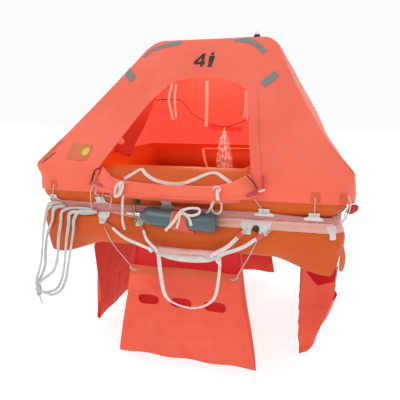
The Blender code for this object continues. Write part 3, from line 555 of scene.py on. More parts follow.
# White webbing lines that hang from the left of the front to one knot
hankSet = {
    "knot": Vector((-0.872, -0.872, crease - 0.535)),
    "knotTop": 0.034,
    "width": 0.015,
    "thick": 0.003,
    "strands": [(0.0068, 0.0066, 0.0), (0.0062, 0.0058, 0.9), (0.0054, 0.005, 2.1)],    # size, radius, start
    "tail": [(0, 0, 0.060), (-0.006, 0, 0.073), (-0.008, 0, 0.085), (-0.018, 0, 0.110)],
    "tailWidth": 0.008,
    "tapeOut": 0.8215,        # the crease tape's face, and its low edge
    "tapeLow": -0.0205,
    "lines": [                # x, height over the crease, y of the fall, end and arrival at the knot, the fall
        (-0.783, -0.010, -0.882, (-0.0105, 0, 0.034), (0, 0, 0.024),
         [(-0.797, -0.157), (-0.828, -0.330), (-0.866, -0.440)]),
        (-0.745, -0.042, -0.868, (0, 0, 0.034), (0, 0, 0.024),
         [(-0.781, -0.170), (-0.803, -0.275), (-0.814, -0.360), (-0.846, -0.435)]),
        (-0.690, -0.048, -0.878, (0.0105, 0, 0.034), (0, 0, 0.024),
         [(-0.703, -0.180), (-0.720, -0.300), (-0.752, -0.385), (-0.812, -0.437)]),
        (-0.640, -0.050, -0.870, (0.026, -0.0045, 0.002), (0.024, 0, 0.001),
         [(-0.660, -0.200), (-0.680, -0.320), (-0.703, -0.420), (-0.745, -0.500), (-0.798, -0.528)]),
        (-0.606, -0.077, -0.880, (0.0256, 0.0045, -0.006), (0.024, 0, 0),
         [(-0.624, -0.220), (-0.650, -0.330), (-0.676, -0.430), (-0.715, -0.505), (-0.776, -0.541)]),
    ],
}


def hankRoute(line, h=hankSet):
    x, over, y, end, arrives, falls = line
    if over > h["tapeLow"]:
        normal, face = Vector((0, -1, 0)), h["tapeOut"]
    else:
        face = outAt(over, lowerZ, 0.0032)
        normal = Vector((0, tubeHalf - face, crease + over - lowerZ)).normalized()
    start = Vector((x, -face, crease + over)) + normal * 0.0006
    out = start + normal * 0.012 + Vector((0, -0.004, -0.004))
    drop = Vector((x, min(start.y - 0.022, -0.862), start.z - 0.040))
    last = h["knot"] + Vector(end)
    return [start, out, drop] + [Vector((px, y, crease + pz)) for px, pz in falls] + [last + Vector(arrives), last]


def makeHankKnot(h=hankSet):
    # The lines are tied together in one overhand knot
    centre = h["knot"] + Vector((0, 0, 0.002))
    parts = []
    for k, (size, thick, phase) in enumerate(h["strands"]):
        route = []
        for i in range(28):
            t = 2 * pi * i / 27 + phase
            route.append(centre + Vector((size * (sin(t) + 1.6 * sin(2 * t)),
                                          size * 0.9 * -sin(3 * t),
                                          size * 1.4 * (cos(t) - 1.6 * cos(2 * t)) - 0.002 * k)))
        parts.append(tubeAlong("strand", route, thick, sides=12))
    neck = [h["knot"] + Vector((0.001, 0, 0.036)), h["knot"] + Vector((0.001, 0, 0.022)), centre]
    parts.append(tubeAlong("strand", neck, lambda share: 0.0175 - 0.005 * share, sides=14, squeeze=0.6,
                           first=(1, 0, 0)))
    return give(joined(parts, "hankKnot"), "hank", "white_line", "hank_knot")


def makeHank(h=hankSet):
    knot = makeHankKnot()
    for i, line in enumerate(h["lines"]):
        route = hankRoute(line)
        faces = [Vector((0.35 * sin(k * 1.3 + i * 1.9), -1, 0)) for k in range(len(route))]
        tape = tapeAlong("hankLine%d" % (i + 1), route, h["width"], h["thick"], faces, 8, 4, 0.0022)
        give(tape, "hank", "white_line", "hank_line_%d" % (i + 1))
        hangingCord(curveThrough(route, 8))
    top = h["knot"] + Vector((0, 0, h["knotTop"] - 0.001))
    route = [top - Vector(down) for down in h["tail"]]
    tail = tapeAlong("hankTail", route, h["tailWidth"], h["thick"], (0.2, -1, 0), 6, 3, 0.001)
    give(tail, "hank", "white_line", "hank_tail")
    hangingCord(curveThrough(route, 6))


lanyardSet = {
    "radius": 0.003,
    "route": [(-0.421, 0, 0.598), (-0.315, 0, 0.601), (-0.241, 0, 0.597), (-0.190, 0, 0.549), (-0.139, 0, 0.494),
              (-0.044, 0, 0.446), (0.081, 0, 0.412), (0.162, 0, 0.434), (0.231, 0, 0.461), (0.360, 0, 0.530),
              (0.430, 0, 0.598)],
}


def makeLanyard(l=lanyardSet):
    # Light line slung across the cabin from one arch leg to the other
    route = overCrease(l["route"])
    line = give(tubeAlong("cabinLanyard", route, l["radius"], steps=6), "darkCord", "white_line")
    hangingCord(curveThrough(route, 6))


makeHank()
makeLanyard()
print("lines done")


# Canopy: one cloth over the arch, drawn down over the upper tube
canopySet = {
    "archTop": crease + 0.9075,
    "bend": 0.0861,           # radius of the cloth's bend over the arch
    "ridgeHalf": 0.408,
    "ridgeFlat": 0.335,       # the ridge's straight part; past it the shoulders fall away
    "shoulder": 0.078,
    "eaveHalf": 0.838,
    "eaveZ": crease + 0.235,
    "hemHalf": 0.8552,
    "hemZ": crease + 0.090,
    "hipRound": 0.014,
    "hemRound": 0.115,        # the skirt's corners follow the tube's round corner
    "sag": 0.016,
    "hipSag": 0.008,
    "flare": 0.028,
    "hipDrawn": 0.020,
    "rightBulge": 0.014,
    "thickness": 0.0022,
    "columns": 88,            # across one side
    "rows": 108,
    "flat": (5.6, 1.0),       # the cloth's cut size, round and down
    "area": 4.3,
}
bendShare, slopeShare = 0.07, 0.80        # how far down the cloth the bend and the slope end


def slopeAngle(c=canopySet):
    run, rise = c["eaveHalf"], c["archTop"] - c["eaveZ"]
    return atan2(rise, run) + asin(c["bend"] / hypot(run, rise))


roofSlope = slopeAngle()
ridgeZ = canopySet["archTop"] + canopySet["bend"]
bendZ = canopySet["archTop"] + canopySet["bend"] * cos(roofSlope)


def hipHalf(z, c=canopySet):
    # Half-length of the canopy along X at a height, with the shoulders rounded off
    line = c["eaveHalf"] - (c["eaveHalf"] - c["ridgeHalf"]) * (z - c["eaveZ"]) / (ridgeZ - c["eaveZ"])
    low = ridgeZ - c["shoulder"]
    if z <= low:
        return line
    share = (z - low) / c["shoulder"]
    return c["ridgeFlat"] + (line - c["ridgeFlat"]) * sqrt(max(0.0, 1 - share * share))


def canopyLevel(v, c=canopySet):
    # Height, half-length along X, half-depth along Y and corner radius at a share of the way down
    if v < bendShare:
        angle = roofSlope * v / bendShare
        z = c["archTop"] + c["bend"] * cos(angle)
        return z, hipHalf(z), max(c["bend"] * sin(angle), 0.0004), c["hipRound"]
    if v < slopeShare:
        share = (v - bendShare) / (slopeShare - bendShare)
        z = bendZ + (c["eaveZ"] - bendZ) * share
        deep = c["eaveHalf"] - (z - c["eaveZ"]) / tan(roofSlope)
        drawn = c["hipSag"] * 4 * share * (1 - share)
        return z, hipHalf(z) - drawn, deep - drawn, c["hipRound"]
    share = (v - slopeShare) / (1 - slopeShare)
    z = c["eaveZ"] + (c["hemZ"] - c["eaveZ"]) * share
    out = c["eaveHalf"] + (c["hemHalf"] - c["eaveHalf"]) * ease(0, 0.75, share)
    return z, out, out, c["hipRound"] + (c["hemRound"] - c["hipRound"]) * ease(0.04, 0.62, share)


# Folds of the front sheet: from, to (x and height over the crease), width, depth
frontFolds = [
    ((0.40, 0.62), (0.62, 0.36), 0.030, 0.006), ((0.38, 0.50), (0.70, 0.30), 0.026, 0.0065),
    ((0.40, 0.40), (0.74, 0.22), 0.024, 0.006), ((0.42, 0.28), (0.66, 0.15), 0.020, 0.005),
    ((0.34, 0.74), (0.52, 0.52), 0.028, 0.0045), ((0.70, 0.30), (0.80, 0.13), 0.024, 0.010),
    ((0.60, 0.40), (0.77, 0.25), 0.022, -0.005), ((-0.30, 0.96), (-0.42, 0.62), 0.040, 0.005),
    ((-0.16, 0.98), (-0.20, 0.76), 0.035, 0.0035), ((0.16, 0.98), (0.20, 0.76), 0.035, 0.004),
    ((-0.48, 0.56), (-0.60, 0.24), 0.035, 0.0045), ((-0.74, 0.30), (-0.60, 0.16), 0.030, 0.005),
    ((-0.56, 0.34), (-0.50, 0.13), 0.022, -0.0035), ((-0.66, 0.36), (-0.82, 0.22), 0.022, 0.006),
    ((-0.26, 0.70), (-0.11, 0.768), 0.011, 0.0045), ((-0.10, 0.757), (0.03, 0.778), 0.010, 0.0045),
    ((0.10, 0.765), (0.26, 0.705), 0.011, 0.0045), ((0.27, 0.72), (0.34, 0.60), 0.012, 0.004),
    ((0.28, 0.90), (0.36, 0.66), 0.035, 0.004), ((0.40, 0.80), (0.52, 0.62), 0.030, 0.004),
]
sideFolds = [
    ((-0.10, 0.90), (-0.30, 0.40), 0.040, 0.006), ((0.08, 0.92), (0.28, 0.44), 0.040, 0.005),
    ((-0.45, 0.36), (-0.76, 0.20), 0.030, 0.007), ((0.45, 0.36), (0.76, 0.22), 0.030, 0.007),
    ((0.0, 0.60), (0.03, 0.20), 0.045, 0.005), ((-0.26, 0.34), (-0.36, 0.12), 0.030, 0.0045),
    ((0.34, 0.30), (0.40, 0.11), 0.028, 0.0045), ((0.20, 0.96), (0.40, 0.70), 0.035, 0.004),
]


def foldDepth(x, z, folds):
    depth = 0.0
    for (ax, az), (bx, bz), width, tall in folds:
        dx, dz = bx - ax, bz - az
        long = hypot(dx, dz)
        along = ((x - ax) * dx + (z - az) * dz) / long
        off = abs((x - ax) * dz - (z - az) * dx) / long
        if off > 3 * width or along < -0.05 or along > long + 0.05:
            continue
        ends = ease(-0.04, 0.25 * long, along) * ease(-0.04, 0.25 * long, long - along)
        depth += tall * ends * exp(-(off / width) ** 2)
    return depth


def canopyPoint(turn, s, v, c=canopySet):
    # Place on the cloth of the side that turn counts from the front; s runs from -1 to 1 along the side
    z, alongX, alongY, rounding = canopyLevel(v)
    across, out = (alongX, alongY) if turn % 2 == 0 else (alongY, alongX)
    x, y = roundedCorner(s * across, across, out, min(rounding, 0.95 * across, 0.95 * out))
    calm = (1 - s * s) * ease(0, 0.12, v)
    share = max(0.0, min(1.0, (v - bendShare) / (slopeShare - bendShare)))
    y -= c["sag"] * 4 * share * (1 - share) * calm * (0.45 if turn % 2 else 1.0)
    over = z - crease
    folds = foldDepth(x, over, sideFolds if turn else frontFolds)
    drift = wobble(x * 3.1 + turn * 7, over * 3.7, turn) * 0.005
    ripple = wobble(x * 9 + turn * 3, over * 6, 4.0 + turn) * 0.0022
    relief = 1.5 * folds + 1.3 * drift + ripple
    y += relief * ease(0, 0.25, 1 - abs(s)) * ease(0.02, 0.14, v) * (1 - 0.6 * ease(0.9, 1, v))
    pucker = 0.0022 * sin(x * 46 + turn) * ease(0.93, 1.0, v)
    place = quarterTurn(turn) @ Vector((x, -(y + pucker), z))
    # At the front right the cloth's skirt stands out past the corner, and its hip is drawn in
    past = exp(-((place.y + 0.77) / 0.13) ** 2)
    place.x += c["flare"] * past * ease(0.68, 0.80, place.x) * ease(0.40, 0.20, over)
    if place.x > 0 and place.y < 0:
        hip = ease(0.12, 0.0, across * (1 - abs(s))) * 4 * share * (1 - share)
        drawn = c["hipDrawn"] * hip
        place += Vector((-drawn, drawn * 0.4, 0))
    if turn == 1:
        place.x += c["rightBulge"] * 4 * share * (1 - share) * (1 - abs(s) ** 4)
    return place


def canopyNormal(turn, s, v):
    step = 0.012
    along = canopyPoint(turn, min(s + step, 1), v) - canopyPoint(turn, max(s - step, -1), v)
    down = canopyPoint(turn, s, min(v + step, 1)) - canopyPoint(turn, s, max(v - step, 0))
    return down.cross(along).normalized()


def canopyShare(z, c=canopySet):
    # How far down the cloth a height lies
    if z > bendZ:
        return bendShare * acos(min(1.0, (z - c["archTop"]) / c["bend"])) / roofSlope
    if z > c["eaveZ"]:
        return bendShare + (slopeShare - bendShare) * (bendZ - z) / (bendZ - c["eaveZ"])
    return slopeShare + (1 - slopeShare) * (c["eaveZ"] - z) / (c["eaveZ"] - c["hemZ"])


def onCanopy(x, over, lift=0.0, turn=0):
    # Place on a side's cloth at an x and a height over the crease, lifted off it
    v = canopyShare(crease + over)
    z, alongX, alongY, rounding = canopyLevel(v)
    s = max(-1.0, min(1.0, x / (alongX if turn % 2 == 0 else alongY)))
    return canopyPoint(turn, s, v) + canopyNormal(turn, s, v) * lift


doorSet = {
    "outline": [(-0.441, 0.235), (-0.374, 0.400), (-0.294, 0.570), (-0.193, 0.689), (-0.090, 0.722),
                (0.006, 0.728), (0.110, 0.718), (0.194, 0.698), (0.275, 0.653), (0.307, 0.579),
                (0.348, 0.368), (0.378, 0.235)],
    "sill": 0.128,
    "sillEnds": (-0.455, 0.395),
    "hemWidth": 0.024,
    "hemThick": 0.0016,
    "scallop": 0.0035,        # how far the hem's edge runs in and out
}


def doorEdge(steps=5, d=doorSet):
    edge = [(d["sillEnds"][0], 0, d["sill"])] + [(x, 0, z) for x, z in d["outline"]]
    return [(p.x, p.z) for p in curveThrough(edge + [(d["sillEnds"][1], 0, d["sill"])], steps)]


def makeCanopy(c=canopySet):
    def shape(u, v):
        place = (u * 4) % 4
        turn = int(place)
        return canopyPoint(turn, sin(pi / 2 * (2 * (place - turn) - 1)), 1 - v)

    canopy = gridPiece("canopy", c["columns"] * 4, c["rows"], shape, c["flat"])
    weld(canopy, 0.0003)
    addWall(canopy, c["thickness"], -1.0, inside=True)
    cutAway(canopy, pushedOutline([(x, -1.1, crease + over) for x, over in doorEdge()], (0, 0.95, 0)))
    # The inner faces take canopyInside, whose painted glow stands for light through the cloth
    give(canopy, "canopy", "canopy_cloth", "canopy_front", "canopy_back", "canopy_left", "canopy_right",
         inside=["canopyInside"], marks=[min(face.material_index, 1) for face in canopy.data.polygons])
    shade(canopy, 50)


makeCanopy()
print("canopy done")


# Buoyancy tubes, round in section, with soft mitred corners
tubeSet = {
    "sides": 40,
    "columns": 52,            # along one side of the square
    "cornerRound": 0.115,     # at the outer face; less towards the inside
    "innerRound": 0.012,
    "gap": 0.0002,            # from a tube's flattened face to the crease
    "crumple": 0.0035,        # of the skin at the corners
    "droopOut": 0.040,        # how far the lower tube's corners sag, outwards and down
    "droopDown": 0.074,
    "droopLength": 0.27,
}


def nearCorner(s, t=tubeSet):
    return max(0.0, 1 - (1 - abs(s)) * tubeHalf / t["droopLength"])


def cornerSag(s, angle, t=tubeSet):
    # How far the lower tube's skin sags at a place, outwards and down
    near = nearCorner(s)
    share = near * near * (3 - 2 * near)
    under = max(0.0, -sin(angle))
    power = 8 if cos(angle) < 0 else 4
    return t["droopOut"] * share * under ** 6, t["droopDown"] * share * under ** power


def tubePoint(turn, s, angle, centre, t=tubeSet):
    # Place on a tube's skin; the angle runs round the section from its outer side upwards
    out = tubeHalf + tubeRadius * cos(angle)
    z = centre + tubeRadius * sin(angle)
    if centre > crease:
        z = max(z, crease + t["gap"])
    else:
        outSag, downSag = cornerSag(s, angle)
        out += outSag
        z = min(z, crease - t["gap"]) - downSag
    rounding = t["innerRound"] + (t["cornerRound"] - t["innerRound"]) * max(0.0, (out - 0.61) / 0.24) ** 1.5
    if centre < crease:
        rounding *= 1 - 0.92 * ease(0.3, 0.95, -sin(angle))
    x, y = roundedCorner(s * out, out, out, max(0.004, rounding))
    crumple = nearCorner(s) ** 2 * t["crumple"] * sin(angle * 9 + turn * 2) * cos((1 - abs(s)) * 34)
    x += copysign(crumple * 0.5, x)
    return quarterTurn(turn) @ Vector((x, -(y + crumple), z))


def makeTube(name, centre, t=tubeSet):
    def shape(u, v):
        turn, s = aroundRaft(u)
        return tubePoint(turn, s, 2 * pi * v, centre)

    tube = gridPiece(name, t["columns"] * 4, t["sides"], shape, (5.84, 2 * pi * tubeRadius))
    weld(tube)
    shade(tube, 60)
    return tube


give(makeTube("upperTube", upperZ), "tube", "tube_fabric", "upper_tube")
give(makeTube("lowerTube", lowerZ), "tube", "tube_fabric", "lower_tube")


floorSet = {"slack": (0.010, 0.005), "thickness": 0.003, "cells": 60}


def makeFloor(f=floorSet):
    # The floor's sheet, drawn between the lower tube's inner sides and a little slack
    low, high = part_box("raft_floor")
    middle, half = (low.z + high.z) / 2, high.x

    def shape(u, v):
        x, y = (2 * u - 1) * half, (2 * v - 1) * half
        calm = (1 - (2 * u - 1) ** 6) * (1 - (2 * v - 1) ** 6)
        slack = f["slack"][0] * wobble(x * 4, y * 4, 2) + f["slack"][1] * wobble(x * 11, y * 11, 5)
        return Vector((x, y, middle + slack * calm))

    return clothPiece("raftFloor", f["cells"], f["cells"], shape, (2 * half, 2 * half), f["thickness"], 50)


give(makeFloor(), "tube", "floor_fabric", "raft_floor")
print("tubes done")


# Arch tube under the middle of the canopy
archSet = {
    "radius": 0.079,
    "seams": (0.06, 0.40, 0.60, 0.94),        # shares of the way along where it is drawn in
    "pinch": (0.018, 0.012),  # how much of the radius each takes, and over what share of the way
    "halfPath": [(0.705, 0.228), (0.668, 0.315), (0.575, 0.475), (0.500, 0.640), (0.432, 0.775),
                 (0.372, 0.868), (0.290, 0.9075), (0.145, 0.9085)],
}


def makeArch(a=archSet):
    half = [Vector((x, 0, crease + z)) for x, z in a["halfPath"]]
    route = half + [Vector((-p.x, 0, p.z)) for p in reversed(half)]

    def bulge(share):
        deep, long = a["pinch"]
        return a["radius"] * (1 - deep * sum(exp(-((share - at) / long) ** 2) for at in a["seams"]))

    return tubeAlong("archTube", route, bulge, sides=28, steps=8, first=(0, 1, 0), rounded=0.15)


give(makeArch(), "arch", "tube_fabric", "arch_tube")
print("arch done")


# Sewn work on the canopy

def stripOnCanopy(name, points, width, lift=0.0006, thick=0.0009, turn=0, taper=(1.0, 1.0), steps=4):
    # A strip laid on a side's cloth along points given as (x, height over the crease)
    path = curveThrough([(x, 0, z) for x, z in points], steps)
    directions = alongPath(path)
    last = len(path) - 1

    def shape(u, v):
        i = round(v * last)
        wide = width * (taper[0] + (taper[1] - taper[0]) * v)
        out = Vector((directions[i].z, 0, -directions[i].x)) * (u - 0.5) * wide
        return onCanopy(path[i].x + out.x, path[i].z + out.z, lift + thick, turn)

    return clothPiece(name, max(2, int(width / 0.012)), last, shape, (width, pathLength(path)), thick)


def patchOnCanopy(name, corners, lift=0.0006, thick=0.001, turn=0, rounded=0.12):
    # A four-cornered patch on the cloth, its corners a little rounded
    a, b, c, d = [Vector((x, 0, z)) for x, z in corners]

    def shape(u, v):
        p, q = 2 * u - 1, 2 * v - 1
        pull = 1 - rounded * (p * p * q * q) ** 2
        u, v = (p * pull + 1) / 2, (q * pull + 1) / 2
        place = a.lerp(b, u).lerp(d.lerp(c, u), v)
        return onCanopy(place.x, place.z, lift + thick, turn)

    return clothPiece(name, 8, 8, shape, ((b - a).length, (d - a).length), thick)


def discOnCanopy(name, centre, radius, lift=0.0006, thick=0.001):
    def shape(u, v):
        angle, reach = 2 * pi * u, radius * max(v, 0.001)
        return onCanopy(centre[0] + reach * cos(angle), centre[1] + reach * sin(angle), lift + thick)

    return clothPiece(name, 24, 3, shape, (radius, radius), thick, welded=0.0003)


def makeDoorHem(d=doorSet):
    path = [Vector((x, 0, z)) for x, z in doorEdge(7)]
    directions = alongPath(path)
    last = len(path) - 1

    def shape(u, v):
        i = round(v * last)
        scallop = d["scallop"] * sin(i * 0.55) * ease(0.2, 0.5, path[i].z)
        reach = -0.003 + (d["hemWidth"] + scallop) * u
        out = Vector((-directions[i].z, 0, directions[i].x)) * reach
        return onCanopy(path[i].x + out.x, path[i].z + out.z, 0.0014 + d["hemThick"] * sin(pi * u))

    return clothPiece("doorHem", 4, last, shape, (d["hemWidth"], pathLength(path)), d["hemThick"], 50)


canopyWork = {
    "tapes": [                # name, route, width, its shares of the width at both ends
        ("roofTapeLeft", [(-0.205, 0.975), (-0.300, 0.952), (-0.392, 0.922), (-0.442, 0.872)], 0.034, (1.15, 0.45)),
        ("roofTapeRight", [(0.150, 0.978), (0.262, 0.955), (0.318, 0.916), (0.360, 0.875)], 0.036, (0.9, 0.9)),
        ("lowTapeLeft", [(-0.532, 0.783), (-0.454, 0.717)], 0.044, (1.0, 1.0)),
        ("lowTapeRight", [(0.448, 0.738), (0.373, 0.669)], 0.048, (1.0, 1.0)),
    ],
    "hipTape": [(0.405, 0.728), (0.345, 0.748)],
    "jamb": [(0.418, 0.100), (0.404, 0.235), (0.376, 0.368), (0.338, 0.579), (0.322, 0.640)],
    "label": [(-0.672, 0.343), (-0.534, 0.335), (-0.536, 0.252), (-0.662, 0.261)],
    "labelDot": ((-0.562, 0.299), 0.0185),
    "four": [("fourSlant", [(-0.030, 0.881), (-0.080, 0.822)]), ("fourBar", [(-0.084, 0.819), (-0.012, 0.819)]),
             ("fourStem", [(-0.030, 0.884), (-0.030, 0.794)])],
    "figureCentre": 0.026,
    "hemPatches": [-0.722, 0.400, 0.688, 0.815],
    "sidePatches": [-0.70, -0.35, 0.0, 0.35, 0.70],
    "patchSize": (0.042, 0.050),
    "patchFoot": 0.096,
    "cornerPatch": [(-0.826, 0.238), (-0.758, 0.358)],
}


def makeCanopyWork(w=canopyWork):
    def sew(piece, finish):
        give(piece, finish, "canopy_cloth")

    sew(makeDoorHem(), "canopy")
    sew(stripOnCanopy("jambStrip", w["jamb"], 0.046, 0.0012, 0.0022, taper=(1.0, 0.7)), "canopy")
    for turn, back in ((0, ""), (2, "Back")):
        for name, route, width, taper in w["tapes"]:
            sew(stripOnCanopy(name + back, route, width, turn=turn, taper=taper), "reflective")
    for turn, side in ((1, "RightSide"), (3, "LeftSide")):
        for name, sign in (("hipTape", turn - 2), ("hipTapeBack", 2 - turn)):
            route = [(sign * x, z) for x, z in w["hipTape"]]
            sew(stripOnCanopy(name + side, route, 0.046, turn=turn), "reflective")
    give(patchOnCanopy("labelPatch", w["label"], rounded=0.05), "label", "label_orange", "label_patch")
    give(discOnCanopy("labelDot", *w["labelDot"], lift=0.0016), "yellow", "label_yellow", "label_dot")
    thin = {"lift": 0.0002, "thick": 0.0006}
    bars = [stripOnCanopy(name, route, 0.0175, steps=3, **thin) for name, route in w["four"]]
    sew(joined(bars, "capacityNumber"), "mark")
    x = w["figureCentre"]
    chest = [(x - 0.020, 0.866), (x + 0.020, 0.866), (x + 0.015, 0.822), (x - 0.015, 0.822)]
    body = [patchOnCanopy("chest", chest, **thin), discOnCanopy("head", (x, 0.880), 0.0105, **thin)]
    for side in (-1, 1):
        leg = [(x + side * 0.0075, 0.828), (x + side * 0.0075, 0.790)]
        body.append(stripOnCanopy("leg", leg, 0.0125, steps=2, **thin))
    sew(joined(body, "capacityFigure"), "mark")
    half, foot, top = w["patchSize"][0] / 2, w["patchFoot"], w["patchFoot"] + w["patchSize"][1]
    for turn, side in enumerate(sideNames):
        for i, x in enumerate(w["sidePatches"] if turn else w["hemPatches"]):
            corners = [(x - half, foot), (x + half, foot), (x + half, top), (x - half, top)]
            sew(patchOnCanopy("hemPatch%s%d" % (side, i + 1), corners, turn=turn), "hemPatch")
        sew(stripOnCanopy("cornerPatch" + side, w["cornerPatch"], 0.040, turn=turn, taper=(0.7, 1.0)), "hemPatch")
        zigzag = [(0.012 * i - 0.004 * (i % 2) - 0.795, 0.237 + 0.0135 * i) for i in range(5)]
        sew(stripOnCanopy("cornerStitch" + side, zigzag, 0.0045, 0.0018, 0.0008, turn, steps=1), "mark")


makeCanopyWork()
print("canopy work done")


# Bands and patches on the tubes
bandSet = {
    "tapeProfile": [(0.802, 0.023), (0.818, 0.019), (0.8235, 0.008), (0.824, -0.006), (0.8215, -0.018),
                    (0.819, -0.0215)],
    "lipProfile": [(0.812, 0.024), (0.8205, 0.021), (0.825, 0.0185), (0.8256, 0.016)],
    "band": (-0.0225, -0.058),
    "bandLift": 0.003,
    "overTape": 0.8254,       # how far out the band lies where it comes over the tape
    "bandRise": 0.034,        # how far its lower edge rises towards the left of the front
    "raised": 0.009,          # how far the seam of tape and band rises towards the right of the front
    "upperPatches": [-0.746, -0.450, -0.065, 0.447, 0.690],
    "upperDrops": [0, 0, 0, 0.014, 0.022],    # how far the front's patches sit lower than the others
    "sunk": 0.013,            # how far the tape's top goes down towards the right of the front
    "lowerPatches": [-0.434, -0.217, 0.366, 0.448, 0.797],
    "doublePatch": (0.411, [(-0.016, 0.144), (-0.019, 0.152), (-0.036, 0.150), (-0.042, 0.138)]),
    "squeezed": 0.28,
    "patchLifts": (0.0052, 0.0066, 0.0058),    # of the upper, lower and double patches off the tube
    "upperRows": [(0.062, 0.046), (0.057, 0.056), (0.040, 0.052), (0.032, 0.060), (0.024, 0.094), (0.010, 0.098),
                  (0.006, 0.092)],        # height over the crease, width
    "lowerRows": [(-0.026, 0.062), (-0.030, 0.070), (-0.046, 0.068), (-0.054, 0.052), (-0.066, 0.040),
                  (-0.080, 0.044), (-0.086, 0.036)],
    "thick": 0.0018,
}


def ringBand(name, profile, wave=0.0012, drop=0.0, lift=0.0, b=bandSet):
    # A band right round the raft. Towards the right of the front lift draws the seam of tape and band up, and the
    # tape's top goes down. With drop it is the pale band, whose lower edge goes up towards the left.
    path = curveThrough([(out, 0, over) for out, over in profile], 4)
    last = len(path) - 1
    rounding = tubeSet["cornerRound"] * 0.9

    def shape(u, v):
        turn, s = aroundRaft(u)
        out, over = nearest(path, 1 - v).x, nearest(path, 1 - v).z
        x, y = roundedCorner(s * out, out, out, rounding)
        drift = wobble(x * 5 + turn * 9, y * 2, over * 20) * wave
        low = (path[0].z - over) / (path[0].z - path[-1].z)
        if not drop and turn == 0:
            over += lift * low * ease(0.05, 0.40, x)
            over -= b["sunk"] * ease(0.42, 0.70, x) * ease(-0.0215, 0.023, over)
        if drop:
            if turn == 0:
                over += drop * low * (1 - ease(-0.50, -0.10, x)) + lift * (1 - low) * ease(0.05, 0.40, x)
            onTape = b["overTape"] - 0.0052 * ease(-0.006, -0.0225, over)
            out = max(outAt(over, lowerZ, b["bandLift"]), onTape if over > -0.0285 and x > 0.05 else 0)
            x, y = roundedCorner(s * out, out, out, rounding)
            drift += 0.001 * sin(x * 150 + over * 260) * ease(-0.1, 0.3, x)
        return quarterTurn(turn) @ Vector((x, -(y + 0.0006 + abs(drift)), crease + over + drift))

    return clothPiece(name, 4 * 60, last, shape, (6.6, pathLength(path)), b["thick"], 50, -1.0, 0.00005)


def tubePatch(name, turn, x, centre, rows, lift, dropped=0.0, b=bandSet):
    # A patch glued on a tube; rows give (height over the crease, width), its corners rounded;
    # dropped sets it lower and squeezes it a little, so that it comes over the tape
    path = curveThrough([(width, 0, over) for over, width in rows], 3)

    def shape(u, v):
        row = nearest(path, 1 - v)
        over = row.z - dropped + b["squeezed"] * (rows[0][0] - row.z) if dropped else row.z
        out = outAt(over, centre, lift)
        if dropped:
            out = max(out, 0.829 - 0.0225 * ease(0.017, 0.030, over))
        across, y = roundedCorner(x + (u - 0.5) * row.x, out, out, tubeSet["cornerRound"])
        return quarterTurn(turn) @ Vector((across, -y, crease + over))

    patch = gridPiece(name, 6, len(path) - 1, shape, (0.08, 0.07))
    addWall(patch, b["thick"])
    edge = patch.modifiers.new("edge", "BEVEL")
    edge.width = 0.0005
    edge.segments = 2
    edge.limit_method = "ANGLE"
    applyModifiers(patch)
    shade(patch, 40)
    give(patch, "patch", "pale_band")


def makeBands(b=bandSet):
    upper, lower, double = b["patchLifts"]
    # The lip is the pale band's upper edge, which lies over the tape
    give(ringBand("creaseTape", b["tapeProfile"], lift=b["raised"]), "tape", "pink_tape", "crease_tape")
    give(ringBand("tapeLip", b["lipProfile"], 0.002), "lip", "pink_tape")
    high, low = b["band"]
    heights = [high + (low - high) * i / 4 for i in range(5)]
    profile = [(outAt(over, lowerZ, b["bandLift"]), over) for over in heights]
    band = ringBand("paleBand", profile, drop=b["bandRise"], lift=b["raised"])
    give(band, "band", "pale_band", "lower_band")
    for turn, side in enumerate(sideNames):
        for i, (x, down) in enumerate(zip(b["upperPatches"], b["upperDrops"])):
            tubePatch("upperPatch%s%d" % (side, i + 1), turn, x, upperZ, b["upperRows"], upper, 0 if turn else down)
        for i, x in enumerate(b["lowerPatches"]):
            tubePatch("lowerPatch%s%d" % (side, i + 1), turn, x, lowerZ, b["lowerRows"], lower)
        x, rows = b["doublePatch"]
        tubePatch("doublePatch" + side, turn, x, lowerZ, rows, double)


makeBands()
print("bands done")


# Door flap, folded down on the sill
flapSet = {
    "rows": [                 # x, top and bottom over the crease, half-depth
        (-0.436, 0.232, 0.128, 0.010), (-0.415, 0.216, 0.106, 0.016), (-0.370, 0.192, 0.097, 0.024),
        (-0.300, 0.170, 0.090, 0.030), (-0.150, 0.158, 0.083, 0.031), (0.000, 0.155, 0.081, 0.031),
        (0.130, 0.157, 0.082, 0.031), (0.240, 0.170, 0.088, 0.031), (0.330, 0.196, 0.098, 0.028),
        (0.375, 0.214, 0.108, 0.020), (0.398, 0.222, 0.122, 0.012),
    ],
    "behind": 0.003,          # its back out from the skirt
    "slant": (0.020, 0.024),  # how far the left and the right end lean along the zips
    "hemStrip": 0.022,
}


def skirtOut(over, c=canopySet):
    share = (c["eaveZ"] - crease - over) / (c["eaveZ"] - c["hemZ"])
    return c["eaveHalf"] + (c["hemHalf"] - c["eaveHalf"]) * ease(0, 0.75, share)


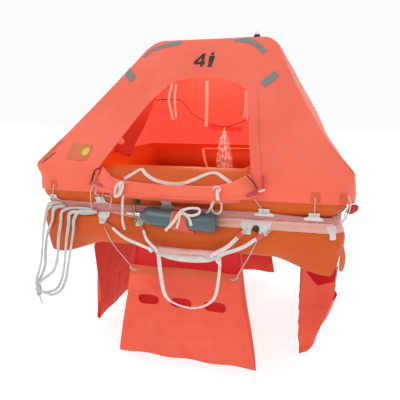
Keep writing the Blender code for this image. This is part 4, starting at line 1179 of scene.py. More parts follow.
def makeFlap(f=flapSet):
    route = curveThrough([(x, deep, (top + low) / 2) for x, top, low, deep in f["rows"]], 12)
    halves = curveThrough([(x, 0, (top - low) / 2) for x, top, low, deep in f["rows"]], 12)
    last = len(route) - 1
    ends = [(0, 0), (0.3, 0.90), (0.7, 0.97)]      # shares of depth and height of the rings that close an end
    rings = [(0, thin, tall) for thin, tall in ends] + [(i, 1, 1) for i in range(1, last)]
    rings += [(last, thin, tall) for thin, tall in reversed(ends)]

    def shape(u, v):
        i, thin, tall = nearest(rings, v)
        x, deep, middle = route[i]
        up, front = sin(2 * pi * u), cos(2 * pi * u)
        up = copysign(abs(up) ** 0.86, up)
        front = copysign(abs(front) ** 0.80, front)
        left, right = 1 - ease(-0.436, -0.330, x), ease(0.290, 0.398, x)
        over = middle + halves[i].z * tall * up
        across = x + (f["slant"][0] * left - f["slant"][1] * right) * up * tall
        back = canopySet["hemHalf"] + (skirtOut(over) - canopySet["hemHalf"]) * max(left, right) + f["behind"]
        fold = 0.0075 * exp(-((up + 0.46 + 0.10 * sin(x * 5)) / 0.11) ** 2)
        fold += 0.004 * exp(-((up - 0.20 + 0.55 * x) / 0.20) ** 2)
        fold -= wobble(x * 5, over * 9, 3) * 0.006 + wobble(x * 13, over * 15, 8) * 0.0022
        fold -= 0.0018 * sin(x * 30 + over * 70) * ease(0.16, 0.36, abs(x))
        y = back + deep * (1 + front * thin) - fold * max(0.0, front) * thin
        return Vector((across, -y, crease + over + 0.0012 * sin(x * 23) * up))

    flap = gridPiece("doorFlap", 44, len(rings) - 1, shape, (0.28, 0.86))
    weld(flap)
    shade(flap, 60)
    return flap


def makeFlapHem(f=flapSet):
    # The door's own sewn edge, which hangs out under the roll
    points = [(x, -(canopySet["hemHalf"] + 0.018 + 0.004 * sin(x * 9)), crease + low - 0.006)
              for x, top, low, deep in f["rows"][2:-2]]
    return tapeAlong("doorFlapHem", points, f["hemStrip"], 0.0022, (0, -1, -0.25), 8, 4, 0.002)


give(makeFlap(), "canopy", "canopy_cloth", "door_roll")
give(makeFlapHem(), "canopy", "canopy_cloth")
print("door flap done")


# Gas cylinder in the crease at the entrance
gasSet = {
    "left": (-0.197, -0.014), # ends of its axis: x, height over the crease
    "right": (0.219, -0.034),
    "radius": 0.0505,
    "clear": 0.0035,          # between it and the lower tube
    # Profiles as (distance along, radius); the foot's distances run back from the right end
    "shoulder": [(0.0, 0.0135), (0.003, 0.016), (0.010, 0.020), (0.016, 0.029), (0.023, 0.0365),
                 (0.032, 0.043), (0.043, 0.0478), (0.056, 0.0502), (0.066, 0.0505)],
    "foot": [(0.030, 0.0505), (0.020, 0.0498), (0.012, 0.0476), (0.006, 0.044), (0.002, 0.0385), (0, 0.030)],
    "collar": [(0, 0.015), (0.004, 0.0155), (0.012, 0.0155), (0.013, 0.0125), (0.020, 0.0125), (0.021, 0.0145),
               (0.028, 0.0145)],
    "valveBody": [(0, 0.0095), (0.002, 0.0105), (0.030, 0.0105), (0.032, 0.009)],
    "knob": [(0, 0.007), (0.0015, 0.0092), (0.012, 0.0092), (0.0135, 0.0065), (0.022, 0.0055), (0.028, 0.0055)],
    "stem": [(0, 0.0075), (0.010, 0.0075), (0.011, 0.0052), (0.030, 0.0052), (0.032, 0.0072), (0.040, 0.0072)],
    "nozzle": [(0, 0.0095), (0.012, 0.0105), (0.014, 0.0085), (0.044, 0.0075), (0.050, 0.006), (0.066, 0.0048),
               (0.069, 0.003)],
    "inlet": [(0, 0.024), (0.0016, 0.024), (0.0024, 0.0225), (0.0026, 0.016), (0.0062, 0.0155), (0.0068, 0.0145),
              (0.0072, 0.009), (0.012, 0.0085), (0.0125, 0.006)],
    "sleeveX": 0.028,
    "sleeveWide": 0.110,
}


def gasEnds(g=gasSet):
    # Both ends of the cylinder's axis, with the cylinder against the lower tube
    ends = overCrease([(x, 0, over) for x, over in (g["left"], g["right"])])
    reach = tubeRadius + g["clear"] + g["radius"]
    for end in ends:
        end.y = -(tubeHalf + sqrt(reach ** 2 - (end.z - lowerZ) ** 2))
    return ends


def makeCylinder(g=gasSet):
    low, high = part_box("gas_cylinder")
    left, right = gasEnds()
    profile = g["shoulder"] + [(high.x - low.x - back, radius) for back, radius in g["foot"]]
    give(lathe("gasCylinder", left, right, profile, 48), "steel", "cylinder_steel", "gas_cylinder")
    axis, up = (left - right).normalized(), Vector((0, 0, 1))
    give(lathe("valveCollar", left, left + axis, g["collar"]), "chrome", "valve_brass")
    block = left + axis * 0.034
    head = [lathe("valveBody", block - up * 0.016, block + up, g["valveBody"], 20),
            lathe("valveKnob", block - up * 0.042, block, g["knob"], 20),
            lathe("valveStem", block + up * 0.010, block + up, g["stem"], 20)]
    give(joined(head, "valveHead"), "brass", "valve_brass", "cylinder_valve")
    aim = block + Vector((-0.075, -0.006, 0.002))
    give(lathe("inflatorNozzle", block + axis * 0.004, aim, g["nozzle"]), "chrome", "valve_brass")


def makeSleeve(g=gasSet):
    left, right = gasEnds()
    middle = left.lerp(right, (g["sleeveX"] - left.x) / (right.x - left.x))
    side = (right - left).normalized()
    top = Vector((g["sleeveX"] - 0.004, -outAt(0.034, upperZ, 0.004), crease + 0.034))
    low = Vector((g["sleeveX"] + 0.012, -outAt(-0.104, lowerZ, 0.004), crease - 0.104))
    around = [middle + (g["radius"] + 0.0026) * Vector((0, -cos(radians(a)), sin(radians(a))))
              for a in range(58, -101, -12)]
    path = curveThrough([top] + around + [low], 3)
    directions = alongPath(path)
    last = len(path) - 1

    def strip(name, start, end, raised, thick):
        def shape(u, v):
            i = round(v * last)
            face = directions[i].cross(side).normalized()
            pinch = 0.66 + 0.36 * ease(0.25, 0.75, v)
            across = (start + (end - start) * u) * g["sleeveWide"] * pinch
            return path[i] + side * across - face * (raised + wobble(across * 60, v * 9, 2) * 0.0014)

        return clothPiece(name, 8, last, shape, (abs(end - start) * g["sleeveWide"], pathLength(path)), thick, 50)

    give(strip("cylinderSleeve", -0.5, 0.5, 0.0006, 0.0018), "sleeve", "canopy_cloth", "cylinder_band")
    give(strip("sleeveBinding", -0.53, -0.45, 0.002, 0.0016), "webbing", "webbing_white")


def makeInlet(g=gasSet):
    angle = -4 * pi / 24
    normal = Vector((0, -cos(angle), sin(angle)))
    foot = Vector((-0.238, -tubeHalf, upperZ)) + normal * (tubeRadius + 0.0004)
    give(lathe("inletPlate", foot, foot + normal, g["inlet"], 32), "darkMetal", "black_plastic", "inlet_plate")


makeCylinder()
makeSleeve()
makeInlet()
print("cylinder done")


# Boarding ladder: padded rung on four straps, with a foot loop; all of it swings with the ladder
ladderSet = {
    "eyes": [-0.430, -0.212, 0.352, 0.462],
    "eyeZ": crease - 0.074,
    "rungPoints": [-0.146, -0.108, 0.200, 0.236],
    "rungEnds": (-0.158, 0.248),
    "rungY": -0.872,
    "rungZ": crease - 0.200,
    "rungRadius": 0.0152,
    "strapWidths": [0.017, 0.016, 0.021, 0.019],
    "tagThick": 0.0016,
    "webbingWidth": 0.017,
    "webbing": [(-0.146, 0.004), (-0.10, -0.030), (0.04, -0.046), (0.17, -0.034), (0.228, 0.004)],    # under the rung
    "eyeCord": 0.0022,
    "loopWidth": 0.022,
    "strapThick": 0.0018,
    "loop": [(-0.116, -0.004), (-0.108, -0.06), (-0.100, -0.15), (-0.085, -0.250), (-0.058, -0.297),
             (-0.004, -0.322), (0.053, -0.330), (0.105, -0.326), (0.165, -0.298), (0.208, -0.240), (0.228, -0.10),
             (0.228, -0.004)],
}


def makeLadder(l=ladderSet):
    rungY, rungZ, r, thick = l["rungY"], l["rungZ"], l["rungRadius"], l["strapThick"]
    low, high = l["rungEnds"]
    route = [(low + (high - low) * i / 6, rungY, rungZ + 0.0016 * sin(i * 1.7)) for i in range(7)]

    def swell(share):
        ends = min(share, 1 - share) * (high - low)
        return r * (0.66 + 0.34 * ease(0, 0.018, ends) + 0.035 * sin(share * 47) + 0.02 * sin(share * 90))

    def swing(piece, finish, *replaced):
        give(piece, finish, "webbing_white", *replaced, body="ladder")

    rung = tubeAlong("ladderRung", route, swell, sides=20, steps=12, first=(0, 1, 0))
    for point in rung.data.vertices:
        x, y, z = point.co
        point.co += Vector((0, y - rungY, z - rungZ)) * 0.10 * wobble(x * 60, y * 90, z * 90)
    give(rung, "pad", "rung_pad", "ladder_rung", body="ladder")
    before = rungY - r - thick / 2 - 0.0004
    behind = rungY + r + thick / 2 + 0.0004
    face = outAt(-0.083, lowerZ, 0.0062)
    for i, (eye, end, width) in enumerate(zip(l["eyes"], l["rungPoints"], l["strapWidths"])):
        start = Vector((eye, -(face + 0.0045), l["eyeZ"]))
        finish = Vector((end, before - 0.0022 * (i in (1, 2)), rungZ + 0.002))
        middle = (start + finish) / 2 + Vector((0, 0, -0.012))
        middle.y = finish.y + 0.001
        bulge = start.lerp(middle, 0.4)
        bulge.y = -(tubeHalf + tubeRadius + 0.0125)
        under = Vector((end + copysign(0.002, eye), before + 0.003, rungZ - r * 0.9))
        strap = tapeAlong("ladderStrap%d" % (i + 1), [start, bulge, middle, finish, under], width, thick, (0, -1, 0),
                          5, 3, 0.001)
        swing(strap, "webbing", "ladder_strap_%d" % (i + 1))
        tagRoute = [start.lerp(bulge, 0.18) + Vector((0, -0.0026, 0)),
                    start.lerp(bulge, 0.4) + Vector((0, -0.003, 0)), bulge + Vector((0, -0.003, 0))]
        swing(tapeAlong("strapTag%d" % (i + 1), tagRoute, width + 0.005, l["tagThick"], (0, -1, 0)), "strapTag")
        # The eye's cord stays with the raft
        top = start - (bulge - start).normalized() * 0.020 + Vector((0, -0.002, 0.004))
        cord = [start + Vector((-0.005, -0.002, 0)), top + Vector((-0.006, 0, 0)), top + Vector((0, 0, 0.006)),
                top + Vector((0.006, 0, 0)), start + Vector((0.005, -0.002, 0))]
        give(tubeAlong("eyeCord%d" % (i + 1), cord, l["eyeCord"], 8, 5), "rope", "webbing_white")

    def webbingWide(share):
        return l["webbingWidth"] + 0.020 * ease(0.16, 0.42, share) * ease(0, 0.2, 1 - share)

    route = [(x, behind, rungZ + z) for x, z in l["webbing"]]
    swing(tapeAlong("rungWebbing", route, webbingWide, thick, (0, -1, 0.2), 10, 4, 0.002), "webbing", "ladder_webbing")
    y = behind + thick + 0.0004

    def loopWide(share):
        # Twisted edge on from the bottom up its right leg, so it looks narrow there
        return l["loopWidth"] * (1 - 0.55 * ease(0.30, 0.42, share) * (1 - 0.45 * ease(0.66, 0.80, share)))

    route = [(x, y - 0.002 * sin(i * 1.3), rungZ + z) for i, (x, z) in enumerate(l["loop"])]
    swing(tapeAlong("footLoop", route, loopWide, thick, (0, -1, 0), 8, 4, 0.0022), "webbing", "ladder_foot_loop")
    knot = Vector((0.232, before - 0.006, rungZ - 0.006))
    route = [knot, knot + Vector((-0.012, -0.004, -0.016)), knot + Vector((0.012, -0.002, -0.044))]
    swing(tapeAlong("strapTail", route, 0.013, l["tagThick"], (0, -1, 0), 5), "webbing")


makeLadder()
print("ladder done")


# Water pockets: cloth bags under the tubes, open at the top on the outer side
pocketSet = {
    # Height under the crease, back, front, half-width of the back and of the front,
    # and how much of a side's own billow, sag, flare and lean each level takes
    "levels": [
        (0.209, 0.660, 0.760, 0.310, 0.310, 0, 0, 0.5, 0), (0.345, 0.676, 0.772, 0.325, 0.312, 1, 1, 1, 0),
        (0.520, 0.686, 0.766, 0.350, 0.340, 1, 0.5, 0.7, 0), (0.700, 0.694, 0.762, 0.385, 0.378, 0.5, 0, 0.35, 0.35),
        (0.840, 0.706, 0.752, 0.410, 0.406, 0.25, 0, 0.15, 0.7), (0.935, 0.732, 0.744, 0.425, 0.425, 0, 0, 0, 1),
    ],
    "rightLevels": [          # the right pocket's own height, back, front and half-widths
        (0.209, 0.660, 0.760, 0.310, 0.310), (0.405, 0.662, 0.857, 0.326, 0.314), (0.520, 0.658, 0.864, 0.350, 0.326),
        (0.660, 0.655, 0.838, 0.366, 0.352), (0.740, 0.655, 0.812, 0.384, 0.372), (0.836, 0.656, 0.776, 0.404, 0.394),
        (0.897, 0.657, 0.752, 0.414, 0.408), (0.935, 0.659, 0.690, 0.425, 0.424),
    ],
    "mouth": [(0, 0), (0.125, 0.074), (0.48, 0.158), (1, 0.118)],    # its drop along the front gusset
    "bulge": 0.052,           # of the right pocket's front
    "sides": {                # billow, sag, flare, lean
        "Front": (0.0, 0.0, 0.0, 0.0), "Right": (0.085, 0.06, 0.0, 0.07),
        "Back": (0.0, 0.0, 0.0, 0.0), "Left": (0.0, 0.0, 0.215, 0.0),
    },
    "holes": [-0.212, -0.014, 0.186],
    "holeZ": 0.556,
    "holeHalf": (0.064, 0.031),
    "holeDrop": 0.10,         # how far the right pocket's front hole hangs down
    "seam": 0.738,            # distance out to the seam at the bottom
    "hemHeight": 0.046,
    "tieTop": (0.425, -0.104),    # x, height over the crease
    "tieEnd": (0.308, 0.772),     # x, distance out
    # The tie's bow round its end: across, out and up
    "tieBow": [(-0.010, 0.0, 0.0), (0.002, -0.003, -0.006), (0.018, -0.002, -0.012), (0.032, -0.0015, -0.016),
               (0.020, -0.003, -0.021), (0.002, -0.002, -0.014), (-0.010, -0.001, -0.004)],
    "tip": 0.052,             # how far the right pocket's front corner is drawn down
    "tuck": (0.034, 0.010),   # of a gusset inwards, and of the right pocket's
    "calm": (0.6, 0.15),      # the back panel's share of the crumple, and the right pocket's
    "thickness": 0.0024,
    "front": 48,              # columns across the front panel, and across the back
    "gusset": 8,
    "rows": 48,
}
pocketFolds = [               # from, to (x and height under the crease), width, depth
    ((-0.29, 0.40), (-0.12, 0.53), 0.018, 0.0075), ((0.28, 0.42), (0.14, 0.52), 0.018, 0.007),
    ((-0.30, 0.50), (-0.35, 0.88), 0.022, -0.007), ((0.335, 0.46), (0.345, 0.93), 0.012, 0.011),
    ((-0.14, 0.62), (-0.22, 0.90), 0.030, 0.008), ((0.02, 0.62), (0.00, 0.92), 0.028, -0.007),
    ((0.12, 0.62), (0.20, 0.92), 0.030, 0.008), ((-0.30, 0.60), (-0.36, 0.72), 0.014, 0.007),
    ((-0.12, 0.70), (0.14, 0.66), 0.014, 0.006), ((-0.10, 0.80), (0.16, 0.76), 0.018, 0.005),
    ((-0.24, 0.455), (0.22, 0.475), 0.016, -0.005), ((-0.28, 0.66), (-0.12, 0.68), 0.012, 0.005),
    ((-0.16, 0.625), (0.10, 0.640), 0.010, 0.0045), ((0.02, 0.44), (0.20, 0.50), 0.012, 0.0045),
]


def readBetween(rows, place):
    # Values between two rows, by the first of each row
    for upper, lower in zip(rows, rows[1:]):
        if place <= lower[0] + 1e-9:
            share = (place - upper[0]) / (lower[0] - upper[0])
            return [a + (b - a) * share for a, b in zip(upper, lower)]
    return list(rows[-1])


def pocketLevel(v, side, p=pocketSet):
    # Height, back, front and half-widths at a share of the way down, read from the levels
    billow, sag, flare, lean = p["sides"][side]
    rows = [(z + sag * ks, back - lean * kl, front + billow * kb - lean * kl, wide + flare * kf, narrow)
            for z, back, front, wide, narrow, kb, ks, kf, kl in p["levels"]]
    if side == "Right":
        rows = p["rightLevels"]
    return readBetween(rows, rows[0][0] + (rows[-1][0] - rows[0][0]) * v)


def pocketShare(down, p=pocketSet):
    top, bottom = p["levels"][0][0], p["levels"][-1][0]
    return (down - top) / (bottom - top)


def pocketCrumple(x, down, folds=pocketFolds, p=pocketSet):
    out = 1.4 * foldDepth(x, down, folds)
    out += wobble(x * 7, down * 5, 1.5) * 0.0055 + wobble(x * 19, down * 13, 6) * 0.0022
    for hole in p["holes"]:
        off = hypot((x - hole) / 0.9, (down - p["holeZ"]) * 1.5)
        out += 0.0028 * cos(off * 95) * exp(-((off - 0.085) / 0.04) ** 2)
    return out * ease(0.345, 0.40, down) * (1 - 0.7 * ease(0.86, 0.93, down))


def mouthDrop(x, y, down, p=pocketSet):
    # How far the right pocket's mouth hangs down round its front corner
    start = p["rightLevels"][1][0]
    depth, back, out, wide, narrow = pocketLevel(min(1, max(0, pocketShare(down))), "Right")
    share = min(1, max(0, (y - back) / (out - back)))
    drop = 0
    if x < 0.0065 - narrow:
        drop = readBetween(p["mouth"], share)[1]
    elif share > 0.5:
        drop = p["mouth"][-1][1] * (1 - ease(0, 0.10, x + narrow))
    return drop * ease(start - 0.10, start, down) * (1 - min(1, max(0, (down - start) / 0.295)))


def makePocketShell(name, side, p=pocketSet):
    front, gusset, right = p["front"], p["gusset"], side == "Right"
    columns = 2 * (front + gusset)
    bottom = p["levels"][-1][0]

    def shape(u, v):
        down, back, out, wide, narrow = pocketLevel(1 - v, side)
        i = round(u * columns) % columns
        low = ease(0.86, 0.935, down)
        tuck = p["tuck"][right] * ease(0.345, 0.5, down) * (1 - 0.5 * low)

        def tucked(share, start, end):
            return start + (end - start) * share - tuck * (1 - abs(2 * share - 1)) ** 1.3

        if i <= front:
            x = narrow * (2 * i / front - 1)
            y = out + pocketCrumple(x, down) * (ease(0, 0.05, narrow - abs(x)) * 0.75 + 0.25)
            if right:
                swell = ease(0.60, 0.70, down) * (1 - ease(0.79, 0.92, down))
                y += p["bulge"] * swell * ease(0, 0.16, narrow - abs(x))
        elif i < front + gusset:
            share = (i - front) / gusset
            x, y = tucked(share, narrow, wide), out + (back - out) * share
        elif i <= 2 * front + gusset:
            x = wide * (1 - 2 * (i - front - gusset) / front)
            calm = p["calm"][right] * ease(0, 0.05, wide - abs(x))
            y = back + pocketCrumple(-x, down) * calm
        else:
            share = (i - 2 * front - gusset) / gusset
            x, y = -tucked(share, wide, narrow), back + (out - back) * share
        wave = 0.007 * sin(i * 0.55) * low
        lift = 0.005 * sin(x * 23 + 1) * low - p["tip"] * right * low * ease(-0.20, -0.42, x)
        return Vector((x, -(y + wave), crease - down + lift))

    bag = gridPiece(name, columns, p["rows"], shape, (1.9, bottom - p["levels"][0][0]))
    weld(bag, 0.0001)
    # Open the top on the outer side: above the hem only the back panel stays
    hem = crease - (p["levels"][1][0] + p["sides"][side][1])
    take(bag)
    for part in [*bag.data.vertices, *bag.data.edges]:
        part.select = False
    for face in bag.data.polygons:
        back, out = pocketLevel(pocketShare(crease - face.center.z), side)[1:3]
        face.select = face.center.z > hem + 0.003 and -face.center.y > back + 0.16 * (out - back) + 0.004
    bpy.ops.object.mode_set(mode="EDIT")
    bpy.ops.mesh.select_mode(type="FACE")
    bpy.ops.mesh.delete(type="FACE")
    bpy.ops.mesh.select_mode(type="VERT")
    bpy.ops.object.mode_set(mode="OBJECT")
    if right:
        for point in bag.data.vertices:
            point.co.z -= mouthDrop(point.co.x, -point.co.y, crease - point.co.z)
    # The rim at the bottom is drawn together into its seam
    seam = p["seam"] - p["sides"][side][3]
    for point in bag.data.vertices:
        if point.co.z < crease - bottom + 0.007 and abs(-point.co.y - seam) < 0.030:
            point.co.y = -seam - (point.co.y + seam) * 0.1
    return bag


def cutHoles(bag, side, p=pocketSet):
    wide, high = p["holeHalf"]
    made = []
    for x in p["holes"]:
        # The right pocket's front corner hangs down, and its hole with it
        low = p["holeDrop"] * (1 - ease(-0.25, 0.05, x)) * (side == "Right")
        tilt = -0.08 * (x > 0) + 0.03 * (x < 0)
        outline = []
        for i in range(28):
            across, up = cos(2 * pi * i / 28), sin(2 * pi * i / 28)
            px = copysign(abs(across) ** 0.55, across) * wide
            pz = copysign(abs(up) ** 0.75, up) * high
            outline.append((x + px, -0.730, crease - p["holeZ"] - low + pz + tilt * px))
        made.append(pushedOutline(outline, (0, -0.2, 0)))
    cutAway(bag, joined(made, "holeCutter"))


def makePocketHem(name, side, p=pocketSet):
    # Orange binding along the pocket's mouth, with the panel's own lean
    start = p["levels"][1][0] + p["sides"][side][1]

    def shape(u, v):
        down = start - 0.001 + p["hemHeight"] * (1 - v)
        depth, back, out, wide, narrow = pocketLevel(pocketShare(down), side)
        x = (narrow + 0.0015) * (2 * u - 1)
        swell = 0.0016 * sin(pi * v) + 0.001 * sin(x * 70) * (1 - v)
        sway = 0.006 * sin(x * 9 + 1) - 0.010 * ease(0.24, 0.31, abs(x))
        if side == "Right":
            sway -= mouthDrop(x, out, down)
        return Vector((x, -(out + pocketCrumple(x, down) + 0.0021 + swell), crease - down + sway))

    return clothPiece(name, 44, 5, shape, (0.62, p["hemHeight"]), 0.0018, 50)


def turnedCopy(piece, name, turn):
    # A copy with its own mesh, turned round the raft by quarters
    take(piece)
    bpy.ops.object.duplicate(linked=False)
    copy = bpy.context.object
    copy.name = name
    copy.data.transform(quarterTurn(turn))
    return copy


def dressPocket(bag, side, turn):
    # Bright outside; dark red inside and on the side that looks at the raft's middle, as painted shade, with a painted
    # glow
    outwards = quarterTurn(turn) @ Vector((0, -1, 0))
    marks = [1 if face.material_index else 2 * (face.normal.dot(outwards) < -0.5) for face in bag.data.polygons]
    give(bag, "pocket", "pocket_cloth", "pocket_" + side.lower(), inside=["pocketInside", "pocketBack"], marks=marks)


def makeTies(side, turn, p=pocketSet):
    billow, sag, flare, lean = p["sides"][side]
    for hand, sign in (("a", -1), ("b", 1)):
        (topX, over), (endX, out) = p["tieTop"], p["tieEnd"]
        top = Vector((sign * topX, -outAt(over, lowerZ, 0.0036), crease + over))
        end = Vector((sign * endX, -(out + billow + 0.0041), crease - 0.345 - sag - 0.012))
        if side == "Right" and sign < 0:
            end.z -= p["mouth"][-1][1]
        route = [top, top.lerp(end, 0.35) + Vector((0, -0.021, -0.006)), end]
        bow = [end + Vector((-dx * sign, dy, dz)) for dx, dy, dz in p["tieBow"]]
        for name, points, radius, steps, replaced in (
                ("pocketTie", route, 0.0022, 8, ["pocket_tie_%s_%s" % (side.lower(), hand)]),
                ("tieKnot", bow, 0.002, 4, [])):
            cord = tubeAlong(name + side + hand, [quarterTurn(turn) @ q for q in points], radius, 8, steps)
            give(cord, "rope", "white_line", *replaced)


def makePockets(p=pocketSet):
    bags, hems = {}, {}
    for turn, side in ((0, "Front"), (2, "Back"), (3, "Left"), (1, "Right")):
        if side == "Back":
            bags[side] = turnedCopy(bags["Front"], "pocketBack", turn)
            hems[side] = turnedCopy(hems["Front"], "pocketHemBack", turn)
        else:
            bags[side] = makePocketShell("pocket" + side, side)
            addWall(bags[side], p["thickness"], inside=True)
            cutHoles(bags[side], side)
            shade(bags[side], 60)
            hems[side] = makePocketHem("pocketHem" + side, side)
            bags[side].data.transform(quarterTurn(turn))
            hems[side].data.transform(quarterTurn(turn))
        give(hems[side], "hemPatch", "pocket_cloth")
        makeTies(side, turn)
    for side, bag in bags.items():
        dressPocket(bag, side, sideNames.index(side))


makePockets()
print("pockets done")


# Small lines and bows at the entrance
bowSet = {
    "flat": [                 # name, y, width, how far its face turns, points as (x, height over the crease)
        ("leftBow", -0.932, 0.0135, 0.3, [(-0.263, 0.169), (-0.293, 0.156), (-0.312, 0.123), (-0.3105, 0.096),
            (-0.298, 0.093), (-0.286, 0.123), (-0.280, 0.156), (-0.264, 0.168)]),
        ("leftBowStrap", -0.938, 0.0125, 0.5, [(-0.262, 0.167), (-0.267, 0.134), (-0.288, 0.100), (-0.316, 0.089)]),
        ("leftBowTail", -0.898, 0.012, 0.5, [(-0.279, 0.096), (-0.287, 0.060), (-0.292, 0.015), (-0.293, -0.020),
            (-0.291, -0.060), (-0.283, -0.098)]),
        ("rightBow", -0.93, 0.007, 0.3, [(0.208, 0.152), (0.212, 0.162), (0.226, 0.167), (0.240, 0.161),
            (0.243, 0.150), (0.236, 0.145)]),
        ("rightStrap", -0.934, 0.0165, 0.1, [(0.232, 0.156), (0.230, 0.128), (0.232, 0.100)]),
        ("rightLoopA", -0.88, 0.008, 0.3, [(0.200, 0.110), (0.189, 0.070), (0.184, 0.049), (0.169, 0.022),
            (0.153, 0.016)]),
        ("rightLoopB", -0.88, 0.008, 0.3, [(0.206, 0.110), (0.199, 0.071), (0.189, 0.044), (0.210, 0.019),
            (0.236, 0.031), (0.240, 0.068), (0.226, 0.088)]),
        ("gasBow", -0.938, 0.013, 0.3, [(0.050, 0.030), (0.048, 0.038), (0.088, 0.052), (0.136, 0.054),
            (0.141, 0.034), (0.118, 0.020), (0.095, 0.016), (0.062, 0.022), (0.052, 0.030)]),
        ("gasBowTail1", -0.938, 0.015, 0.2, [(0.050, 0.034), (0.048, 0.038), (0.028, 0.014), (0.011, -0.016),
            (-0.038, -0.072)]),
        ("gasBowTail2", -0.936, 0.016, 0.2, [(0.056, 0.034), (0.058, 0.029), (0.076, 0.010), (0.089, -0.005),
            (0.099, -0.036)]),
        ("gasBowTail3", -0.934, 0.011, 0.2, [(0.046, 0.034), (0.043, 0.028), (0.036, 0.004), (0.032, -0.020),
            (0.021, -0.057)]),
    ],
    "round": [                # name, y, radius, finish, points
        ("gasBowKnot", -0.943, 0.0055, "tie", [(0.040, 0.028), (0.050, 0.036), (0.060, 0.028), (0.050, 0.022),
            (0.042, 0.030)]),
        ("cornerLoop1", -0.866, 0.0026, "rope", [(-0.464, 0.138), (-0.485, 0.104), (-0.493, 0.065), (-0.491, 0.014),
            (-0.482, 0.003)]),
        ("cornerLoop2", -0.866, 0.0026, "rope", [(-0.458, 0.138), (-0.455, 0.100), (-0.468, 0.083), (-0.450, 0.078),
            (-0.428, 0.057), (-0.422, 0.046)]),
        ("cornerLoop3", -0.866, 0.0026, "rope", [(-0.409, 0.075), (-0.379, 0.076), (-0.368, 0.060), (-0.376, 0.021),
            (-0.371, 0.010)]),
        ("rightCornerTie1", -0.857, 0.0028, "rope", [(0.836, 0.138), (0.849, 0.100), (0.844, 0.061), (0.836, 0.041),
            (0.826, 0.026), (0.812, 0.011)]),
        ("rightCornerTie2", -0.857, 0.0028, "rope", [(0.844, 0.093), (0.828, 0.053), (0.825, 0.039),
            (0.838, 0.034)]),
    ],
    "zips": [                 # x, y, height over the crease
        [(0.367, -0.902, 0.222), (0.382, -0.903, 0.208), (0.399, -0.895, 0.186), (0.414, -0.882, 0.160)],
        [(-0.419, -0.872, 0.229), (-0.451, -0.874, 0.214), (-0.461, -0.878, 0.193), (-0.472, -0.880, 0.150)],
    ],
    "tags": [
        [(0.365, -0.907, 0.131), (0.371, -0.907, 0.115), (0.423, -0.882, 0.128), (0.412, -0.882, 0.154)],
        [(0.433, -0.862, 0.220), (0.444, -0.862, 0.219), (0.446, -0.866, 0.159), (0.435, -0.866, 0.159)],
        [(-0.459, -0.872, 0.209), (-0.448, -0.872, 0.201), (-0.479, -0.878, 0.135), (-0.495, -0.878, 0.134)],
        [(-0.466, -0.880, 0.145), (-0.455, -0.884, 0.154), (-0.401, -0.900, 0.142), (-0.406, -0.900, 0.128)],
    ],
    "tagKnot": [(0.418, -0.890, 0.146), (0.450, -0.876, 0.156), (0.452, -0.876, 0.147), (0.424, -0.888, 0.141)],
    "overTube": [(-0.302, -0.838, 0.167), (-0.258, -0.818, 0.195), (-0.223, -0.790, 0.217), (-0.200, -0.806, 0.206),
                 (-0.176, -0.822, 0.191), (-0.132, -0.838, 0.172), (-0.070, -0.846, 0.158), (0.000, -0.847, 0.156),
                 (0.040, -0.842, 0.163), (0.090, -0.829, 0.182), (0.147, -0.805, 0.207), (0.193, -0.797, 0.212),
                 (0.240, -0.821, 0.192), (0.278, -0.836, 0.171)],
    "cord": 0.0022,
    "zip": 0.0036,
    "webbing": (0.019, 0.0016),     # width and thickness of the webbing that lies on the upper tube
    "sheafEnd": 0.0155,
    # The front's lashings and the others': x at the hem and on the tube, how far they end lower
    "lashings": [(-0.722, -0.746, 0), (-0.410, -0.440, 0), (0.392, 0.447, 0.014), (0.688, 0.690, 0.022)],
    "plainLashings": [(-0.70, -0.746, 0), (-0.35, -0.450, 0), (0.35, 0.447, 0), (0.70, 0.690, 0)],
    "sheaves": [              # route, width, the hanging line it runs into
        ([(-0.470, -0.842, -0.026), (-0.530, -0.850, -0.022), (-0.580, -0.858, -0.030)], 0.018, 4),
        ([(-0.490, -0.840, -0.030), (-0.550, -0.849, -0.034), (-0.606, -0.860, -0.028)], 0.020, 3),
        ([(-0.500, -0.838, -0.014), (-0.570, -0.846, -0.008), (-0.630, -0.856, -0.010), (-0.668, -0.862, -0.022)],
         0.015, 2),
        ([(-0.672, -0.836, -0.006), (-0.705, -0.848, -0.006), (-0.728, -0.858, -0.014)], 0.020, 1),
        ([(-0.690, -0.834, 0.006), (-0.725, -0.844, 0.012), (-0.760, -0.856, 0.010)], 0.018, 0),
    ],
}


def atFront(points, y):
    # Points read as (x, height over the crease) on a plane at y, each a little in or out of it
    return [Vector((x, y - 0.0025 * sin(i * 2.1), crease + z)) for i, (x, z) in enumerate(points)]


def freePatch(name, corners, thick, finish, slot):
    # A four-cornered patch of cloth between its corners
    a, b, c, d = overCrease(corners)

    def shape(u, v):
        place = a.lerp(b, u).lerp(d.lerp(c, u), v)
        return place + Vector((0, -0.0015 * sin(pi * u) * sin(pi * v), 0))

    give(clothPiece(name, 6, 6, shape, ((b - a).length, (d - a).length), thick), finish, slot)


def cordPiece(name, points, radius, finish="rope", slot="white_line"):
    give(tubeAlong(name, points, radius, 8, 6), finish, slot)


def flatTie(name, points, width, lean, finish="tie"):
    # A flat cotton tie, turned a little this way and that along its length
    faces = [Vector((lean * sin(i * 1.7), -1, 0.3 * cos(i * 1.1))) for i in range(len(points))]
    give(tapeAlong(name, points, width, 0.0013, faces, 6, 2, 0.001), finish, "webbing_white")


